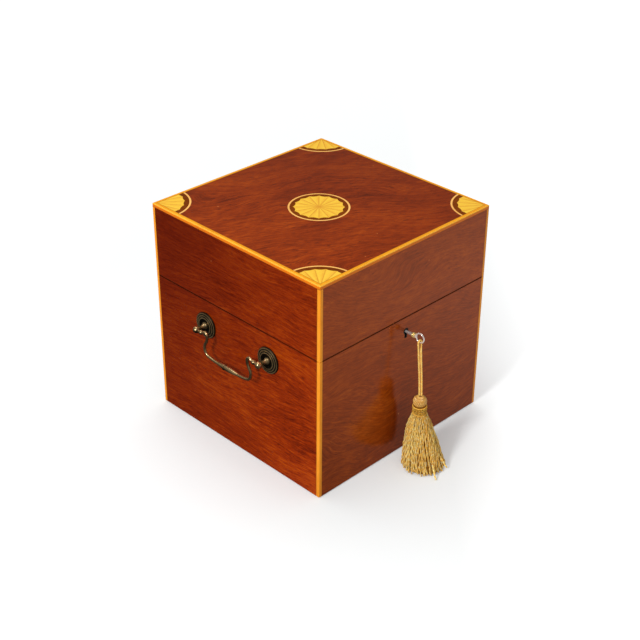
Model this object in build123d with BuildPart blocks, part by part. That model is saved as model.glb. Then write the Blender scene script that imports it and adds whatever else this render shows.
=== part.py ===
from build123d import *
import os
from math import cos, pi, radians, sin, tan

# A mahogany decanter box: case, hinged lid, side bails, box lock, key and tassel.
# Millimetres, +Z up, front towards -Y. The origin is on the floor, under the middle of the box.

os.makedirs("parts", exist_ok=True)

# The box
box_width = 228.0
box_depth = 228.0
box_height = 228.0
split_height = 151.0
split_gap = 0.6
wall = 12.0
bottom_thickness = 10.0
top_thickness = 10.0
joint_clearance = 0.1

# What lies under and inside it
base_cloth_thickness = 1.0
base_cloth_inset = 1.5
partition_thickness = 6.0
partition_headroom = 4.8
groove_depth = 2.0
cell_pad_thickness = 1.5
lid_pad_thickness = 2.0
pad_margin = 0.5

# Boxwood stringing, and the fans let into the lid
stringing = 3.8
arris_radius = 0.9
mitre_line = 0.05
inlay_depth = 1.2
patera_x = -5.9
patera_y = -3.4
patera_radius = 29.9
patera_ground_radius = 28.1
patera_cusp_radius = 25.0
patera_valley_radius = 23.1
patera_flutes = 16
corner_radius = 37.4
corner_ground_radius = 35.6
corner_cusp_radius = 31.4
corner_valley_radius = 30.1
corner_flutes = 5

# Hinges
hinge_spacing = 128.0
hinge_length = 38.0
hinge_leaf_width = 10.2
hinge_leaf_thickness = 1.5
hinge_leaf_gap = 0.4
hinge_axis_offset = 1.2
hinge_knuckle_radius = 3.0
hinge_pin_radius = 1.2
hinge_knuckle_gap = 0.2
hinge_heel_radius = 5.5
hinge_heel_angle = 48.0
hinge_screw_pitch = 13.0
hinge_screw_reach = 6.4

# Handles
handle_y = -3.4
handle_drop = 27.5
post_spacing = 87.6
post_reach = 12.5
post_ball_radius = 3.6
post_neck_radius = 2.2
post_waist_radius = 1.8
post_collar_radius = 3.4
post_collar_height = 1.4
post_tail_radius = 2.0
rose_radius = 13.6
rose_edge = 0.9
rose_bead_count = 3
rose_bead_width = 2.2
rose_bead_height = 0.9
rose_bead_step = 0.5
rose_dish_height = 1.2
nut_radius = 4.0
nut_thickness = 2.4
nut_recess_radius = 4.5
nut_recess_depth = 2.8
bail_radius = 1.45
bail_pintle_radius = 1.5
bail_bead_radius = 2.4
bail_bead_inset = 6.8
bail_bead_lead = 1.6
bail_drop = 24.5
# The swan neck's bends, as distance from the handle's middle and height from the pintles
bail_bends = [(31.5, 2.6), (28.2, 0.6), (28.6, -5.5), (33.6, -14.0), (30.6, -22.5)]
grip_radius = 2.6
grip_length = 36.0
grip_lead = 1.0
grip_ring_radius = 3.0
grip_ring_width = 1.2
grip_ring_y = 4.2
running_clearance = 0.05

# Lock
key_drop = 15.5
lock_width = 54.0
lock_drop = 12.0
lock_depth = 7.0
lock_skin = 1.0
lock_plate_width = 66.0
lock_plate_drop = 15.0
lock_plate_thickness = 1.2
lock_flange_thickness = 1.4
lock_screw_x = 30.0
lock_screw_heights = (-9.0, 8.0)
bolt_thickness = 2.0
bolt_setback = 1.6
bolt_travel = 5.0
bolt_bar_foot = 2.4
bolt_bar_top = 6.4
bolt_play = 0.4
bolt_frame_left = -8.0
bolt_strip_left = -2.2
bolt_floor_foot = -8.3
bolt_floor_top = -6.1
bolt_step_left = 1.2
bolt_step_right = 4.5
bolt_step_top = -4.5
finger_foot = 9.5
finger_top = 12.2
horn_width = 3.0
hook_spacing = 24.0
hook_bar_width = 3.0
hook_nose = 5.0
hook_foot = 6.8
hook_nose_top = 9.2
peg_radius = 0.9
peg_shoulder_radius = 1.6
peg_clearance = 0.1
peg_places = (-5.0, 14.0)
link_plate_width = 60.0
link_plate_depth = 6.4
link_plate_thickness = 1.2
link_screw_x = 24.0
spring_thickness = 0.4
spring_half_length = 12.0
spring_seat_gap = 0.2

# Key and keyhole
key_radius = 1.5
key_tip_gap = 0.4
key_bore_radius = 0.75
key_bore_depth = 6.0
drill_pin_radius = 0.7
drill_pin_setback = 0.8
bit_width = 1.4
bit_reach = 5.8
bit_length = 3.6
bit_ward = 0.6
keyhole_radius = 2.5
keyhole_slot = 2.0
keyhole_reach = 6.6
liner_thickness = 0.9
liner_depth = 3.0
key_collar_near = 8.4
key_collar_far = 11.9
key_collar_radius = 2.6
bow_reach = 17.6
bow_radius = 5.4
bow_wire_radius = 0.75

# Tassel
cord_radius = 1.0
cord_spread = 2.05
cord_strand_offset = 0.75
cord_loop_drop = 0.0
cord_loop_leg = 3.0
cord_straight = 9.0
cord_flare_x = 0.1
cord_flare_y = 0.4
tassel_y_reach = 21.6
tassel_head_height = 66.7
tassel_head_radius = 7.0
tassel_head_flat = 6.2
tassel_collar_radius = 7.3
tassel_collar_foot = 53.2
tassel_collar_top = 62.7
tassel_collar_edge = 1.0
skirt_neck_radius = 7.0
skirt_hem_radius = 22.0
skirt_hem_height = 0.6
skirt_lean_x = -4.0
skirt_lean_y = -12.0
# How far down the skirt each section lies, how far it leans and how far it has opened
skirt_shares = [(0.0, 0.0, 0.0), (0.25, 0.1, 0.24), (0.62, 0.45, 0.63), (1.0, 1.0, 1.0)]

# Screws
screw_radius = 1.2
screw_head_radius = 2.3
screw_length = 7.0
countersink_angle = 90.0
slot_width = 0.5
slot_depth = 0.6

# Places worked out from the sizes above
half_width = box_width / 2
half_depth = box_depth / 2
handle_height = split_height - handle_drop
key_height = split_height - key_drop
inner_half_width = half_width - wall
inner_half_depth = half_depth - wall
case_rim = split_height - split_gap / 2
lid_rim = split_height + split_gap / 2
floor_top = base_cloth_thickness + bottom_thickness
partition_height = key_height - lock_plate_drop - partition_headroom - floor_top
edge_foot = box_height - stringing
ceiling = box_height - top_thickness
groove_width = partition_thickness + 2 * joint_clearance
hinge_y = half_depth + hinge_axis_offset
hinge_centres = (-hinge_spacing / 2, hinge_spacing / 2)
post_places = (handle_y - post_spacing / 2, handle_y + post_spacing / 2)
drill_pin_length = lock_depth - lock_plate_thickness - drill_pin_setback
lock_face = -inner_half_depth
lock_back = lock_face - lock_plate_thickness
bolt_back = lock_back - bolt_setback
bolt_middle = bolt_back - bolt_thickness / 2
flange_foot = case_rim - lock_flange_thickness
hook_centres = (-hook_spacing / 2, hook_spacing / 2)
bow_y = -half_depth - bow_reach
bow_ring_radius = bow_radius - bow_wire_radius
bow_foot = key_height - bow_ring_radius
tassel_y = -half_depth - tassel_y_reach


def finish(piece, name):
    piece.part.label = name
    export_step(piece.part, f"parts/{name}.step")


def front_plane(y):
    # Local x is +X, local y is +Z, and an extrusion runs towards the front.
    return Plane.XZ.offset(-y)


def corner_radii(points):
    # Each arc is as large as its two runs allow.
    radii = []
    for before, corner, after in zip(points, points[1:], points[2:]):
        run_in = Vector(*corner) - Vector(*before)
        run_out = Vector(*after) - Vector(*corner)
        half_turn = radians(run_in.get_angle(run_out)) / 2
        radii.append(0.45 * min(run_in.length, run_out.length) / tan(half_turn))
    return radii


# Boards of the case and the lid

def side_plane(turn, height):
    direction = (cos(radians(turn)), sin(radians(turn)), 0)
    return Plane(origin=(0, 0, height), x_dir=direction, z_dir=(0, 0, 1))


def half_sizes(turn):
    if turn % 180 == 0:
        return half_width, half_depth
    return half_depth, half_width


def mitred_wall(turn, foot, top):
    along, across = half_sizes(turn)
    outline = [
        (-along + stringing, -across),
        (along - stringing, -across),
        (along - stringing, -across + stringing),
        (along - wall, -across + wall),
        (-along + wall, -across + wall),
        (-along + stringing, -across + stringing),
    ]
    with BuildPart() as board:
        with BuildSketch(side_plane(turn, foot)):
            with BuildLine():
                Polyline(*outline, close=True)
            make_face()
        extrude(amount=top - foot)
    return board


def grooved_wall(turn):
    # A case wall, with the groove that the end of a partition stands in.
    across = half_sizes(turn)[1]
    with BuildPart() as board:
        add(mitred_wall(turn, base_cloth_thickness, case_rim))
        with BuildSketch(side_plane(turn, floor_top)):
            with Locations((0, -across + wall - groove_depth / 2)):
                Rectangle(groove_width, groove_depth)
        extrude(amount=partition_height + joint_clearance, mode=Mode.SUBTRACT)
    return board


def corner_strips(foot, top):
    with BuildPart() as strips:
        with BuildSketch(Plane.XY.offset(foot)):
            RectangleRounded(box_width, box_depth, arris_radius)
            Rectangle(box_width - 2 * stringing, box_depth, mode=Mode.SUBTRACT)
            Rectangle(box_width, box_depth - 2 * stringing, mode=Mode.SUBTRACT)
        extrude(amount=top - foot)
    return strips


# Screws, made head up with the head's face at the origin

def countersunk_screw(length):
    cone = screw_head_radius - screw_radius
    with BuildPart() as screw:
        with BuildSketch(Plane.XZ):
            with BuildLine():
                Polyline(
                    (0, 0),
                    (screw_head_radius, 0),
                    (screw_radius, -cone),
                    (screw_radius, -length + screw_radius),
                    (0, -length),
                    close=True,
                )
            make_face()
        revolve(axis=Axis.Z)
        with BuildSketch():
            Rectangle(2 * screw_head_radius, slot_width)
        extrude(amount=-slot_depth, mode=Mode.SUBTRACT)
    return screw


def screw_set(places, name):
    with BuildPart() as screws:
        for place in places:
            with Locations(place):
                add(wood_screw)
    finish(screws, name)


wood_screw = countersunk_screw(screw_length)


# Screw places: the head's face, with the screw running down its own -Z

def hinge_screw_places(turn, leaf_face):
    steps = (-hinge_screw_pitch, 0, hinge_screw_pitch)
    y = hinge_y - hinge_screw_reach
    return [Location((centre + step, y, leaf_face), (turn, 0, 0)) for centre in hinge_centres for step in steps]


case_hinge_screws = hinge_screw_places(0, split_height - hinge_leaf_gap / 2)
lid_hinge_screws = hinge_screw_places(180, split_height + hinge_leaf_gap / 2)
lock_screws = [
    Location((x, lock_face, key_height + rise), (-90, 0, 0))
    for x in (-lock_screw_x, lock_screw_x)
    for rise in lock_screw_heights
]
link_screws = [Location((x, bolt_middle, lid_rim), (180, 0, 0)) for x in (-link_screw_x, link_screw_x)]


# Keyhole outline about the key's axis, in a front plane

def keyhole_outline(y, radius, slot, reach):
    with BuildSketch(front_plane(y)) as outline:
        with Locations((0, key_height)):
            Circle(radius)
        with Locations((0, key_height - reach / 2)):
            Rectangle(slot, reach)
        bottom = outline.vertices().group_by(Axis.Z)[0]
        fillet(bottom, slot / 4)
    return outline.sketch


# Case

with BuildPart() as base_cloth:
    with BuildSketch():
        Rectangle(box_width - 2 * base_cloth_inset, box_depth - 2 * base_cloth_inset)
    extrude(amount=base_cloth_thickness)
finish(base_cloth, "base_cloth")

with BuildPart() as case_bottom:
    with BuildSketch(Plane.XY.offset(base_cloth_thickness)):
        Rectangle(2 * inner_half_width, 2 * inner_half_depth)
    extrude(amount=bottom_thickness)
finish(case_bottom, "case_bottom")

with BuildPart() as case_front:
    add(grooved_wall(0))
    with BuildSketch(front_plane(lock_face)):
        with Locations((0, (key_height - lock_drop - joint_clearance + case_rim) / 2)):
            Rectangle(
                lock_width + 2 * joint_clearance,
                case_rim - key_height + lock_drop + joint_clearance,
            )
    extrude(amount=lock_depth + joint_clearance, mode=Mode.SUBTRACT)
    with BuildSketch(front_plane(lock_face)):
        with Locations((0, (key_height - lock_plate_drop - joint_clearance + case_rim) / 2)):
            Rectangle(
                lock_plate_width + 2 * joint_clearance,
                case_rim - key_height + lock_plate_drop + joint_clearance,
            )
    extrude(amount=lock_plate_thickness, mode=Mode.SUBTRACT)
    with BuildSketch(front_plane(lock_face)):
        with Locations((0, case_rim - lock_flange_thickness / 2)):
            Rectangle(lock_plate_width + 2 * joint_clearance, lock_flange_thickness)
    extrude(amount=lock_depth + joint_clearance, mode=Mode.SUBTRACT)
    extrude(
        keyhole_outline(lock_face, keyhole_radius, keyhole_slot, keyhole_reach),
        amount=wall,
        mode=Mode.SUBTRACT,
    )
    extrude(
        keyhole_outline(
            -half_depth + liner_depth,
            keyhole_radius + liner_thickness,
            keyhole_slot + 2 * liner_thickness,
            keyhole_reach + liner_thickness,
        ),
        amount=liner_depth,
        mode=Mode.SUBTRACT,
    )
    with Locations(*lock_screws):
        Hole(screw_radius, depth=screw_length)
finish(case_front, "case_front")

with BuildPart() as case_back:
    add(grooved_wall(180))
    for centre in hinge_centres:
        with BuildSketch(Plane.XY.offset(case_rim)):
            with Locations((centre, hinge_y - hinge_leaf_width / 2)):
                Rectangle(hinge_length, hinge_leaf_width)
        extrude(
            amount=-(hinge_leaf_thickness + (hinge_leaf_gap - split_gap) / 2),
            mode=Mode.SUBTRACT,
        )
        with BuildSketch(Plane.YZ.offset(centre)):
            with Locations((hinge_y, split_height)):
                Circle(hinge_knuckle_radius + hinge_knuckle_gap)
        extrude(amount=hinge_length / 2, both=True, mode=Mode.SUBTRACT)
    with Locations(*case_hinge_screws):
        Hole(screw_radius, depth=screw_length)
finish(case_back, "case_back")


def case_side(side, turn):
    # A side wall, bored for the tails of the handle's posts and sunk for their nuts.
    with BuildPart() as board:
        add(grooved_wall(turn))
        with BuildSketch(Plane.YZ.offset(side * half_width)):
            with Locations(*[(y, handle_height) for y in post_places]):
                Circle(post_tail_radius + joint_clearance)
        extrude(amount=-side * wall, mode=Mode.SUBTRACT)
        with BuildSketch(Plane.YZ.offset(side * inner_half_width)):
            with Locations(*[(y, handle_height) for y in post_places]):
                Circle(nut_recess_radius)
        extrude(amount=side * nut_recess_depth, mode=Mode.SUBTRACT)
    return board


finish(case_side(1, 90), "case_right_side")
finish(case_side(-1, 270), "case_left_side")
finish(corner_strips(base_cloth_thickness, case_rim), "case_corner_stringing")


def halved_partition(half_length, turn, slot_foot, slot_height):
    # A thin board with a slot half its height, so that two of them cross.
    with BuildPart() as board:
        with BuildSketch(side_plane(turn, floor_top)):
            Rectangle(2 * half_length, partition_thickness)
        extrude(amount=partition_height)
        with BuildSketch(side_plane(turn, slot_foot)):
            Rectangle(groove_width, partition_thickness)
        extrude(amount=slot_height, mode=Mode.SUBTRACT)
    return board


half_partition = partition_height / 2
long_half = inner_half_width + groove_depth - joint_clearance
cross_half = inner_half_depth + groove_depth - joint_clearance
long_partition = halved_partition(long_half, 0, floor_top + half_partition, half_partition)
finish(long_partition, "long_partition")
cross_partition = halved_partition(cross_half, 90, floor_top, half_partition)
finish(cross_partition, "cross_partition")

with BuildPart() as cell_pads:
    cell_width = inner_half_width - partition_thickness / 2
    cell_depth = inner_half_depth - partition_thickness / 2
    with BuildSketch(Plane.XY.offset(floor_top)):
        with GridLocations(cell_width + partition_thickness, cell_depth + partition_thickness, 2, 2):
            Rectangle(cell_width - 2 * pad_margin, cell_depth - 2 * pad_margin)
    extrude(amount=cell_pad_thickness)
finish(cell_pads, "cell_pads")


# Lid

with BuildPart() as lid_front:
    add(mitred_wall(0, lid_rim, edge_foot))
    with BuildSketch(Plane.XY.offset(lid_rim)):
        with Locations((0, bolt_middle)):
            Rectangle(link_plate_width, link_plate_depth)
    extrude(amount=link_plate_thickness, mode=Mode.SUBTRACT)
    with Locations(*link_screws):
        Hole(screw_radius, depth=screw_length)
finish(lid_front, "lid_front")

with BuildPart() as lid_back:
    add(mitred_wall(180, lid_rim, edge_foot))
    for centre in hinge_centres:
        with BuildSketch(Plane.XY.offset(lid_rim)):
            with Locations((centre, hinge_y - hinge_leaf_width / 2)):
                Rectangle(hinge_length, hinge_leaf_width)
        extrude(
            amount=hinge_leaf_thickness + (hinge_leaf_gap - split_gap) / 2,
            mode=Mode.SUBTRACT,
        )
        with BuildSketch(Plane.YZ.offset(centre)):
            with Locations((hinge_y, split_height)):
                Circle(hinge_knuckle_radius + hinge_knuckle_gap)
        extrude(amount=hinge_length / 2, both=True, mode=Mode.SUBTRACT)
    with Locations(*lid_hinge_screws):
        Hole(screw_radius, depth=screw_length)
finish(lid_back, "lid_back")

finish(mitred_wall(90, lid_rim, edge_foot), "lid_right_side")
finish(mitred_wall(270, lid_rim, edge_foot), "lid_left_side")
finish(corner_strips(lid_rim, edge_foot), "lid_corner_stringing")

with BuildPart() as lid_edge_stringing:
    with BuildSketch(Plane.XY.offset(edge_foot)):
        RectangleRounded(box_width, box_depth, arris_radius)
    extrude(amount=stringing)
    fillet(lid_edge_stringing.edges().group_by(Axis.Z)[-1], arris_radius)
    with BuildSketch(Plane.XY.offset(edge_foot)):
        Rectangle(box_width - 2 * stringing, box_depth - 2 * stringing)
    extrude(amount=stringing, mode=Mode.SUBTRACT)
    with BuildSketch(Plane.XY.offset(edge_foot)):
        for x_sign, y_sign in ((1, 1), (1, -1), (-1, 1), (-1, -1)):
            with Locations((x_sign * (half_width - stringing / 2), y_sign * (half_depth - stringing / 2))):
                Rectangle(3 * stringing, mitre_line, rotation=45 * x_sign * y_sign)
    extrude(amount=stringing, mode=Mode.SUBTRACT)
finish(lid_edge_stringing, "lid_edge_stringing")


# Inlays in the lid's top

inlay_plane = Plane.XY.offset(box_height - inlay_depth)


def scalloped_disc(cusp_radius, valley_radius, flutes):
    # A disc whose edge is hollowed between the tips of its flutes.
    step = 360 / flutes
    with BuildSketch() as disc:
        with BuildLine():
            for index in range(flutes):
                start, middle, end = [radians(step * (index + share)) for share in (0, 0.5, 1)]
                ThreePointArc(
                    (cusp_radius * cos(start), cusp_radius * sin(start)),
                    (valley_radius * cos(middle), valley_radius * sin(middle)),
                    (cusp_radius * cos(end), cusp_radius * sin(end)),
                )
        make_face()
    return disc.sketch


patera_fan_outline = scalloped_disc(patera_cusp_radius, patera_valley_radius, patera_flutes)
corner_fan_outline = scalloped_disc(corner_cusp_radius, corner_valley_radius, 4 * corner_flutes)

with BuildPart() as patera_ring:
    with BuildSketch(inlay_plane):
        with Locations((patera_x, patera_y)):
            Circle(patera_radius)
            Circle(patera_ground_radius, mode=Mode.SUBTRACT)
    extrude(amount=inlay_depth)
finish(patera_ring, "patera_ring")

with BuildPart() as patera_ground:
    with BuildSketch(inlay_plane):
        with Locations((patera_x, patera_y)):
            Circle(patera_ground_radius)
            add(patera_fan_outline, mode=Mode.SUBTRACT)
    extrude(amount=inlay_depth)
finish(patera_ground, "patera_ground")

with BuildPart() as patera_fan:
    with BuildSketch(inlay_plane):
        with Locations((patera_x, patera_y)):
            add(patera_fan_outline)
    extrude(amount=inlay_depth)
finish(patera_fan, "patera_fan")

with BuildPart() as corner_rings:
    with BuildSketch(inlay_plane):
        with GridLocations(box_width, box_depth, 2, 2):
            Circle(corner_radius)
            Circle(corner_ground_radius, mode=Mode.SUBTRACT)
        Rectangle(box_width - 2 * stringing, box_depth - 2 * stringing, mode=Mode.INTERSECT)
    extrude(amount=inlay_depth)
finish(corner_rings, "corner_rings")

with BuildPart() as corner_grounds:
    with BuildSketch(inlay_plane):
        with GridLocations(box_width, box_depth, 2, 2):
            Circle(corner_ground_radius)
            add(corner_fan_outline, mode=Mode.SUBTRACT)
        Rectangle(box_width - 2 * stringing, box_depth - 2 * stringing, mode=Mode.INTERSECT)
    extrude(amount=inlay_depth)
finish(corner_grounds, "corner_grounds")

with BuildPart() as corner_fans:
    with BuildSketch(inlay_plane):
        with GridLocations(box_width, box_depth, 2, 2):
            add(corner_fan_outline)
        Rectangle(box_width - 2 * stringing, box_depth - 2 * stringing, mode=Mode.INTERSECT)
    extrude(amount=inlay_depth)
finish(corner_fans, "corner_fans")

with BuildPart() as lid_top_panel:
    with BuildSketch(Plane.XY.offset(ceiling)):
        Rectangle(2 * inner_half_width, 2 * inner_half_depth)
    extrude(amount=top_thickness)
    with BuildSketch(Plane.XY.offset(edge_foot)):
        Rectangle(box_width - 2 * stringing, box_depth - 2 * stringing)
    extrude(amount=stringing)
    with BuildSketch(inlay_plane):
        with Locations((patera_x, patera_y)):
            Circle(patera_radius)
        with GridLocations(box_width, box_depth, 2, 2):
            Circle(corner_radius)
    extrude(amount=inlay_depth, mode=Mode.SUBTRACT)
finish(lid_top_panel, "lid_top_panel")

with BuildPart() as lid_pad:
    with BuildSketch(Plane.XY.offset(ceiling - lid_pad_thickness)):
        Rectangle(2 * (inner_half_width - pad_margin), 2 * (inner_half_depth - pad_margin))
    extrude(amount=lid_pad_thickness)
finish(lid_pad, "lid_pad")


# Stop hinges

hinge_third = hinge_length / 3


def heel_sector(inner_radius, low_angle, high_angle):
    # The part of a hinge leaf behind the knuckles, which stops the lid when it is open.
    reach = 2 * hinge_heel_radius
    low, high = radians(low_angle), radians(high_angle)
    with BuildSketch() as sector:
        Circle(hinge_heel_radius)
        Circle(inner_radius, mode=Mode.SUBTRACT)
        with BuildLine():
            Polyline(
                (0, 0),
                (reach * cos(low), reach * sin(low)),
                (reach * cos(high), reach * sin(high)),
                close=True,
            )
        make_face(mode=Mode.INTERSECT)
    return sector.sketch


def hinge_leaf(centre, way, own_thirds, screws):
    # way is -1 for the leaf in the case and 1 for the leaf in the lid.
    other_thirds = [third for third in (-1, 0, 1) if third not in own_thirds]
    heel_low, heel_high = sorted((way * hinge_heel_angle, way * 90))
    knuckle_length = hinge_third - hinge_knuckle_gap
    with BuildPart() as leaf:
        with BuildSketch(Plane.XY.offset(split_height + way * hinge_leaf_gap / 2)):
            with Locations((centre, hinge_y - hinge_leaf_width / 2)):
                Rectangle(hinge_length, hinge_leaf_width)
        extrude(amount=way * hinge_leaf_thickness)
        with BuildSketch(Plane.YZ.offset(centre)):
            with Locations((hinge_y, split_height)):
                add(heel_sector(hinge_knuckle_radius + hinge_knuckle_gap, heel_low, heel_high))
        extrude(amount=hinge_length / 2, both=True)
        for third in other_thirds:
            with BuildSketch(Plane.YZ.offset(centre + third * hinge_third)):
                with Locations((hinge_y, split_height)):
                    Circle(hinge_knuckle_radius + hinge_knuckle_gap)
            extrude(amount=hinge_third / 2, both=True, mode=Mode.SUBTRACT)
        for third in own_thirds:
            with BuildSketch(Plane.YZ.offset(centre + third * hinge_third)):
                with Locations((hinge_y, split_height)):
                    Circle(hinge_knuckle_radius)
                    add(heel_sector(hinge_pin_radius, heel_low, heel_high))
            extrude(amount=knuckle_length / 2, both=True)
        bore = hinge_pin_radius + (running_clearance if way > 0 else 0)
        with BuildSketch(Plane.YZ.offset(centre)):
            with Locations((hinge_y, split_height)):
                Circle(bore)
        extrude(amount=hinge_length / 2, both=True, mode=Mode.SUBTRACT)
        with Locations(*screws):
            CounterSinkHole(screw_radius, screw_head_radius, counter_sink_angle=countersink_angle)
    return leaf


for centre, hand in zip(hinge_centres, ("left", "right")):
    first = 0 if hand == "left" else 3
    case_leaf = hinge_leaf(centre, -1, (-1, 1), case_hinge_screws[first:first + 3])
    finish(case_leaf, f"{hand}_hinge_case_leaf")
    lid_leaf = hinge_leaf(centre, 1, (0,), lid_hinge_screws[first:first + 3])
    finish(lid_leaf, f"{hand}_hinge_lid_leaf")
    with BuildPart() as hinge_pin:
        with BuildSketch(Plane.YZ.offset(centre)):
            with Locations((hinge_y, split_height)):
                Circle(hinge_pin_radius)
        extrude(amount=hinge_length / 2, both=True)
    finish(hinge_pin, f"{hand}_hinge_pin")

screw_set(case_hinge_screws, "case_hinge_screws")
screw_set(lid_hinge_screws, "lid_hinge_screws")


# Handles. side is -1 on the left and 1 on the right.

def turned_plane(side, y):
    # Local x runs out from the turning's axis and local y out of the box's side.
    return Plane(origin=(side * half_width, y, handle_height), x_dir=(0, 1, 0), z_dir=(0, 0, -side))


def turning_axis(side, y):
    return Axis((side * half_width, y, handle_height), (side, 0, 0))


def handle_roses(side):
    with BuildPart() as roses:
        for y in post_places:
            with BuildSketch(turned_plane(side, y)):
                with BuildLine():
                    Line((post_tail_radius, 0), (rose_radius, 0))
                    Line((rose_radius, 0), (rose_radius, rose_edge))
                    for bead in range(rose_bead_count):
                        outer = rose_radius - bead * rose_bead_width
                        foot = rose_edge + bead * rose_bead_step
                        ThreePointArc(
                            (outer, foot),
                            (outer - rose_bead_width / 2, foot + rose_bead_height),
                            (outer - rose_bead_width, foot + rose_bead_step),
                        )
                    inner = rose_radius - rose_bead_count * rose_bead_width
                    lip = rose_edge + rose_bead_count * rose_bead_step
                    Polyline(
                        (inner, lip),
                        (inner - rose_bead_width / 2, rose_dish_height),
                        (post_tail_radius, rose_dish_height),
                        (post_tail_radius, 0),
                    )
                make_face()
            revolve(axis=turning_axis(side, y))
    return roses


tail_length = wall - joint_clearance


def handle_posts(side):
    neck_top = post_reach - (post_ball_radius ** 2 - post_neck_radius ** 2) ** 0.5
    collar_top = rose_dish_height + post_collar_height
    with BuildPart() as posts:
        for y in post_places:
            with BuildSketch(turned_plane(side, y)):
                with BuildLine():
                    Polyline(
                        (0, -tail_length),
                        (post_tail_radius, -tail_length),
                        (post_tail_radius, rose_dish_height),
                        (post_collar_radius, rose_dish_height),
                        (post_collar_radius, collar_top),
                    )
                    ThreePointArc(
                        (post_collar_radius, collar_top),
                        (post_waist_radius, (collar_top + neck_top) / 2),
                        (post_neck_radius, neck_top),
                    )
                    ThreePointArc(
                        (post_neck_radius, neck_top),
                        (post_ball_radius, post_reach),
                        (0, post_reach + post_ball_radius),
                    )
                    Line((0, post_reach + post_ball_radius), (0, -tail_length))
                make_face()
            revolve(axis=turning_axis(side, y))
        with BuildSketch(front_plane(handle_y)):
            with Locations((side * (half_width + post_reach), handle_height)):
                Circle(bail_pintle_radius + running_clearance)
        extrude(amount=post_spacing, both=True, mode=Mode.SUBTRACT)
    return posts


def post_nuts():
    with BuildPart() as nuts:
        for side in (-1, 1):
            with BuildSketch(Plane.YZ.offset(side * (inner_half_width + nut_recess_depth))):
                with Locations(*[(y, handle_height) for y in post_places]):
                    RegularPolygon(nut_radius, 6)
                    Circle(post_tail_radius, mode=Mode.SUBTRACT)
            extrude(amount=-side * nut_thickness)
    return nuts


def bail_route():
    # From one pintle to the middle of the grip, as distance from the middle and height from the pintles.
    half = [
        (post_spacing / 2 + post_ball_radius - 2 * running_clearance, 0.0),
        (post_spacing / 2 - bail_bead_inset - bail_bead_lead, 0.0),
        *bail_bends,
        (grip_length / 2 + grip_lead, -bail_drop),
    ]
    other_half = [(-y, z) for y, z in reversed(half)]
    return half + other_half


def handle_bail(side):
    x = side * (half_width + post_reach)
    grip_height = handle_height - bail_drop
    route = [(x, handle_y + y, handle_height + z) for y, z in bail_route()]
    with BuildPart() as bail:
        with BuildLine() as path:
            FilletPolyline(*route, radius=corner_radii(route))
        with BuildSketch(Plane(origin=path.line @ 0, z_dir=path.line % 0)):
            Circle(bail_radius)
        sweep()
        with BuildSketch(Plane.YZ.offset(x)):
            with BuildLine():
                ThreePointArc(
                    (handle_y - grip_length / 2, grip_height + bail_radius / 2),
                    (handle_y, grip_height + grip_radius),
                    (handle_y + grip_length / 2, grip_height + bail_radius / 2),
                )
                Polyline(
                    (handle_y + grip_length / 2, grip_height + bail_radius / 2),
                    (handle_y + grip_length / 2, grip_height),
                    (handle_y - grip_length / 2, grip_height),
                    (handle_y - grip_length / 2, grip_height + bail_radius / 2),
                )
            make_face()
            with Locations((handle_y + grip_ring_y, grip_height + grip_ring_radius / 2)):
                Rectangle(grip_ring_width, grip_ring_radius)
        revolve(axis=Axis((x, handle_y, grip_height), (0, 1, 0)))
        for way in (-1, 1):
            bead_y = handle_y + way * (post_spacing / 2 - bail_bead_inset)
            with Locations((x, bead_y, handle_height)):
                Sphere(bail_bead_radius)
            with BuildSketch(front_plane(bead_y)):
                with Locations((x, handle_height)):
                    Circle(bail_pintle_radius)
            extrude(amount=-way * (bail_bead_inset + post_ball_radius))
    return bail


for side, hand in ((-1, "left"), (1, "right")):
    finish(handle_roses(side), f"{hand}_handle_roses")
    finish(handle_posts(side), f"{hand}_handle_posts")
    finish(handle_bail(side), f"{hand}_bail")
finish(post_nuts(), "handle_post_nuts")


# Box lock in the front of the case

with BuildPart() as lock_plate:
    with BuildSketch(front_plane(lock_face)):
        with Locations((0, (key_height - lock_plate_drop + case_rim) / 2)):
            Rectangle(lock_plate_width, case_rim - key_height + lock_plate_drop)
    extrude(amount=lock_plate_thickness)
    with BuildSketch(front_plane(lock_face)):
        with Locations((0, case_rim - lock_flange_thickness / 2)):
            Rectangle(lock_plate_width, lock_flange_thickness)
    extrude(amount=lock_depth)
    with BuildSketch(Plane.XY.offset(flange_foot)):
        with Locations(*[(centre, bolt_middle) for centre in hook_centres]):
            Rectangle(
                hook_bar_width + hook_nose + 3 * bolt_play,
                bolt_thickness + 3 * bolt_play,
            )
    extrude(amount=lock_flange_thickness, mode=Mode.SUBTRACT)
    peg_height = key_height + (bolt_bar_foot + bolt_bar_top) / 2
    with BuildSketch(front_plane(lock_back)):
        with Locations(*[(x, peg_height) for x in peg_places]):
            Circle(peg_shoulder_radius)
    extrude(amount=bolt_setback - peg_clearance)
    with BuildSketch(front_plane(lock_back)):
        with Locations(*[(x, peg_height) for x in peg_places]):
            Circle(peg_radius)
    extrude(amount=bolt_setback + bolt_thickness + bolt_play)
    with Locations(*lock_screws):
        CounterSinkHole(screw_radius, screw_head_radius, counter_sink_angle=countersink_angle)
finish(lock_plate, "lock_plate")

with BuildPart() as lock_case:
    with BuildSketch(front_plane(lock_back)):
        with Locations((0, (key_height - lock_drop + flange_foot) / 2)):
            Rectangle(lock_width, flange_foot - key_height + lock_drop)
    extrude(amount=lock_depth - lock_plate_thickness)
    with BuildSketch(front_plane(lock_back)):
        with Locations((0, (key_height - lock_drop + lock_skin + flange_foot) / 2)):
            Rectangle(lock_width - 2 * lock_skin, flange_foot - key_height + lock_drop - lock_skin)
    extrude(amount=lock_depth - lock_plate_thickness - lock_skin, mode=Mode.SUBTRACT)
    extrude(
        keyhole_outline(lock_back, key_radius + 2 * joint_clearance, keyhole_slot, keyhole_reach),
        amount=lock_depth,
        mode=Mode.SUBTRACT,
    )
finish(lock_case, "lock_case")

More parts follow.
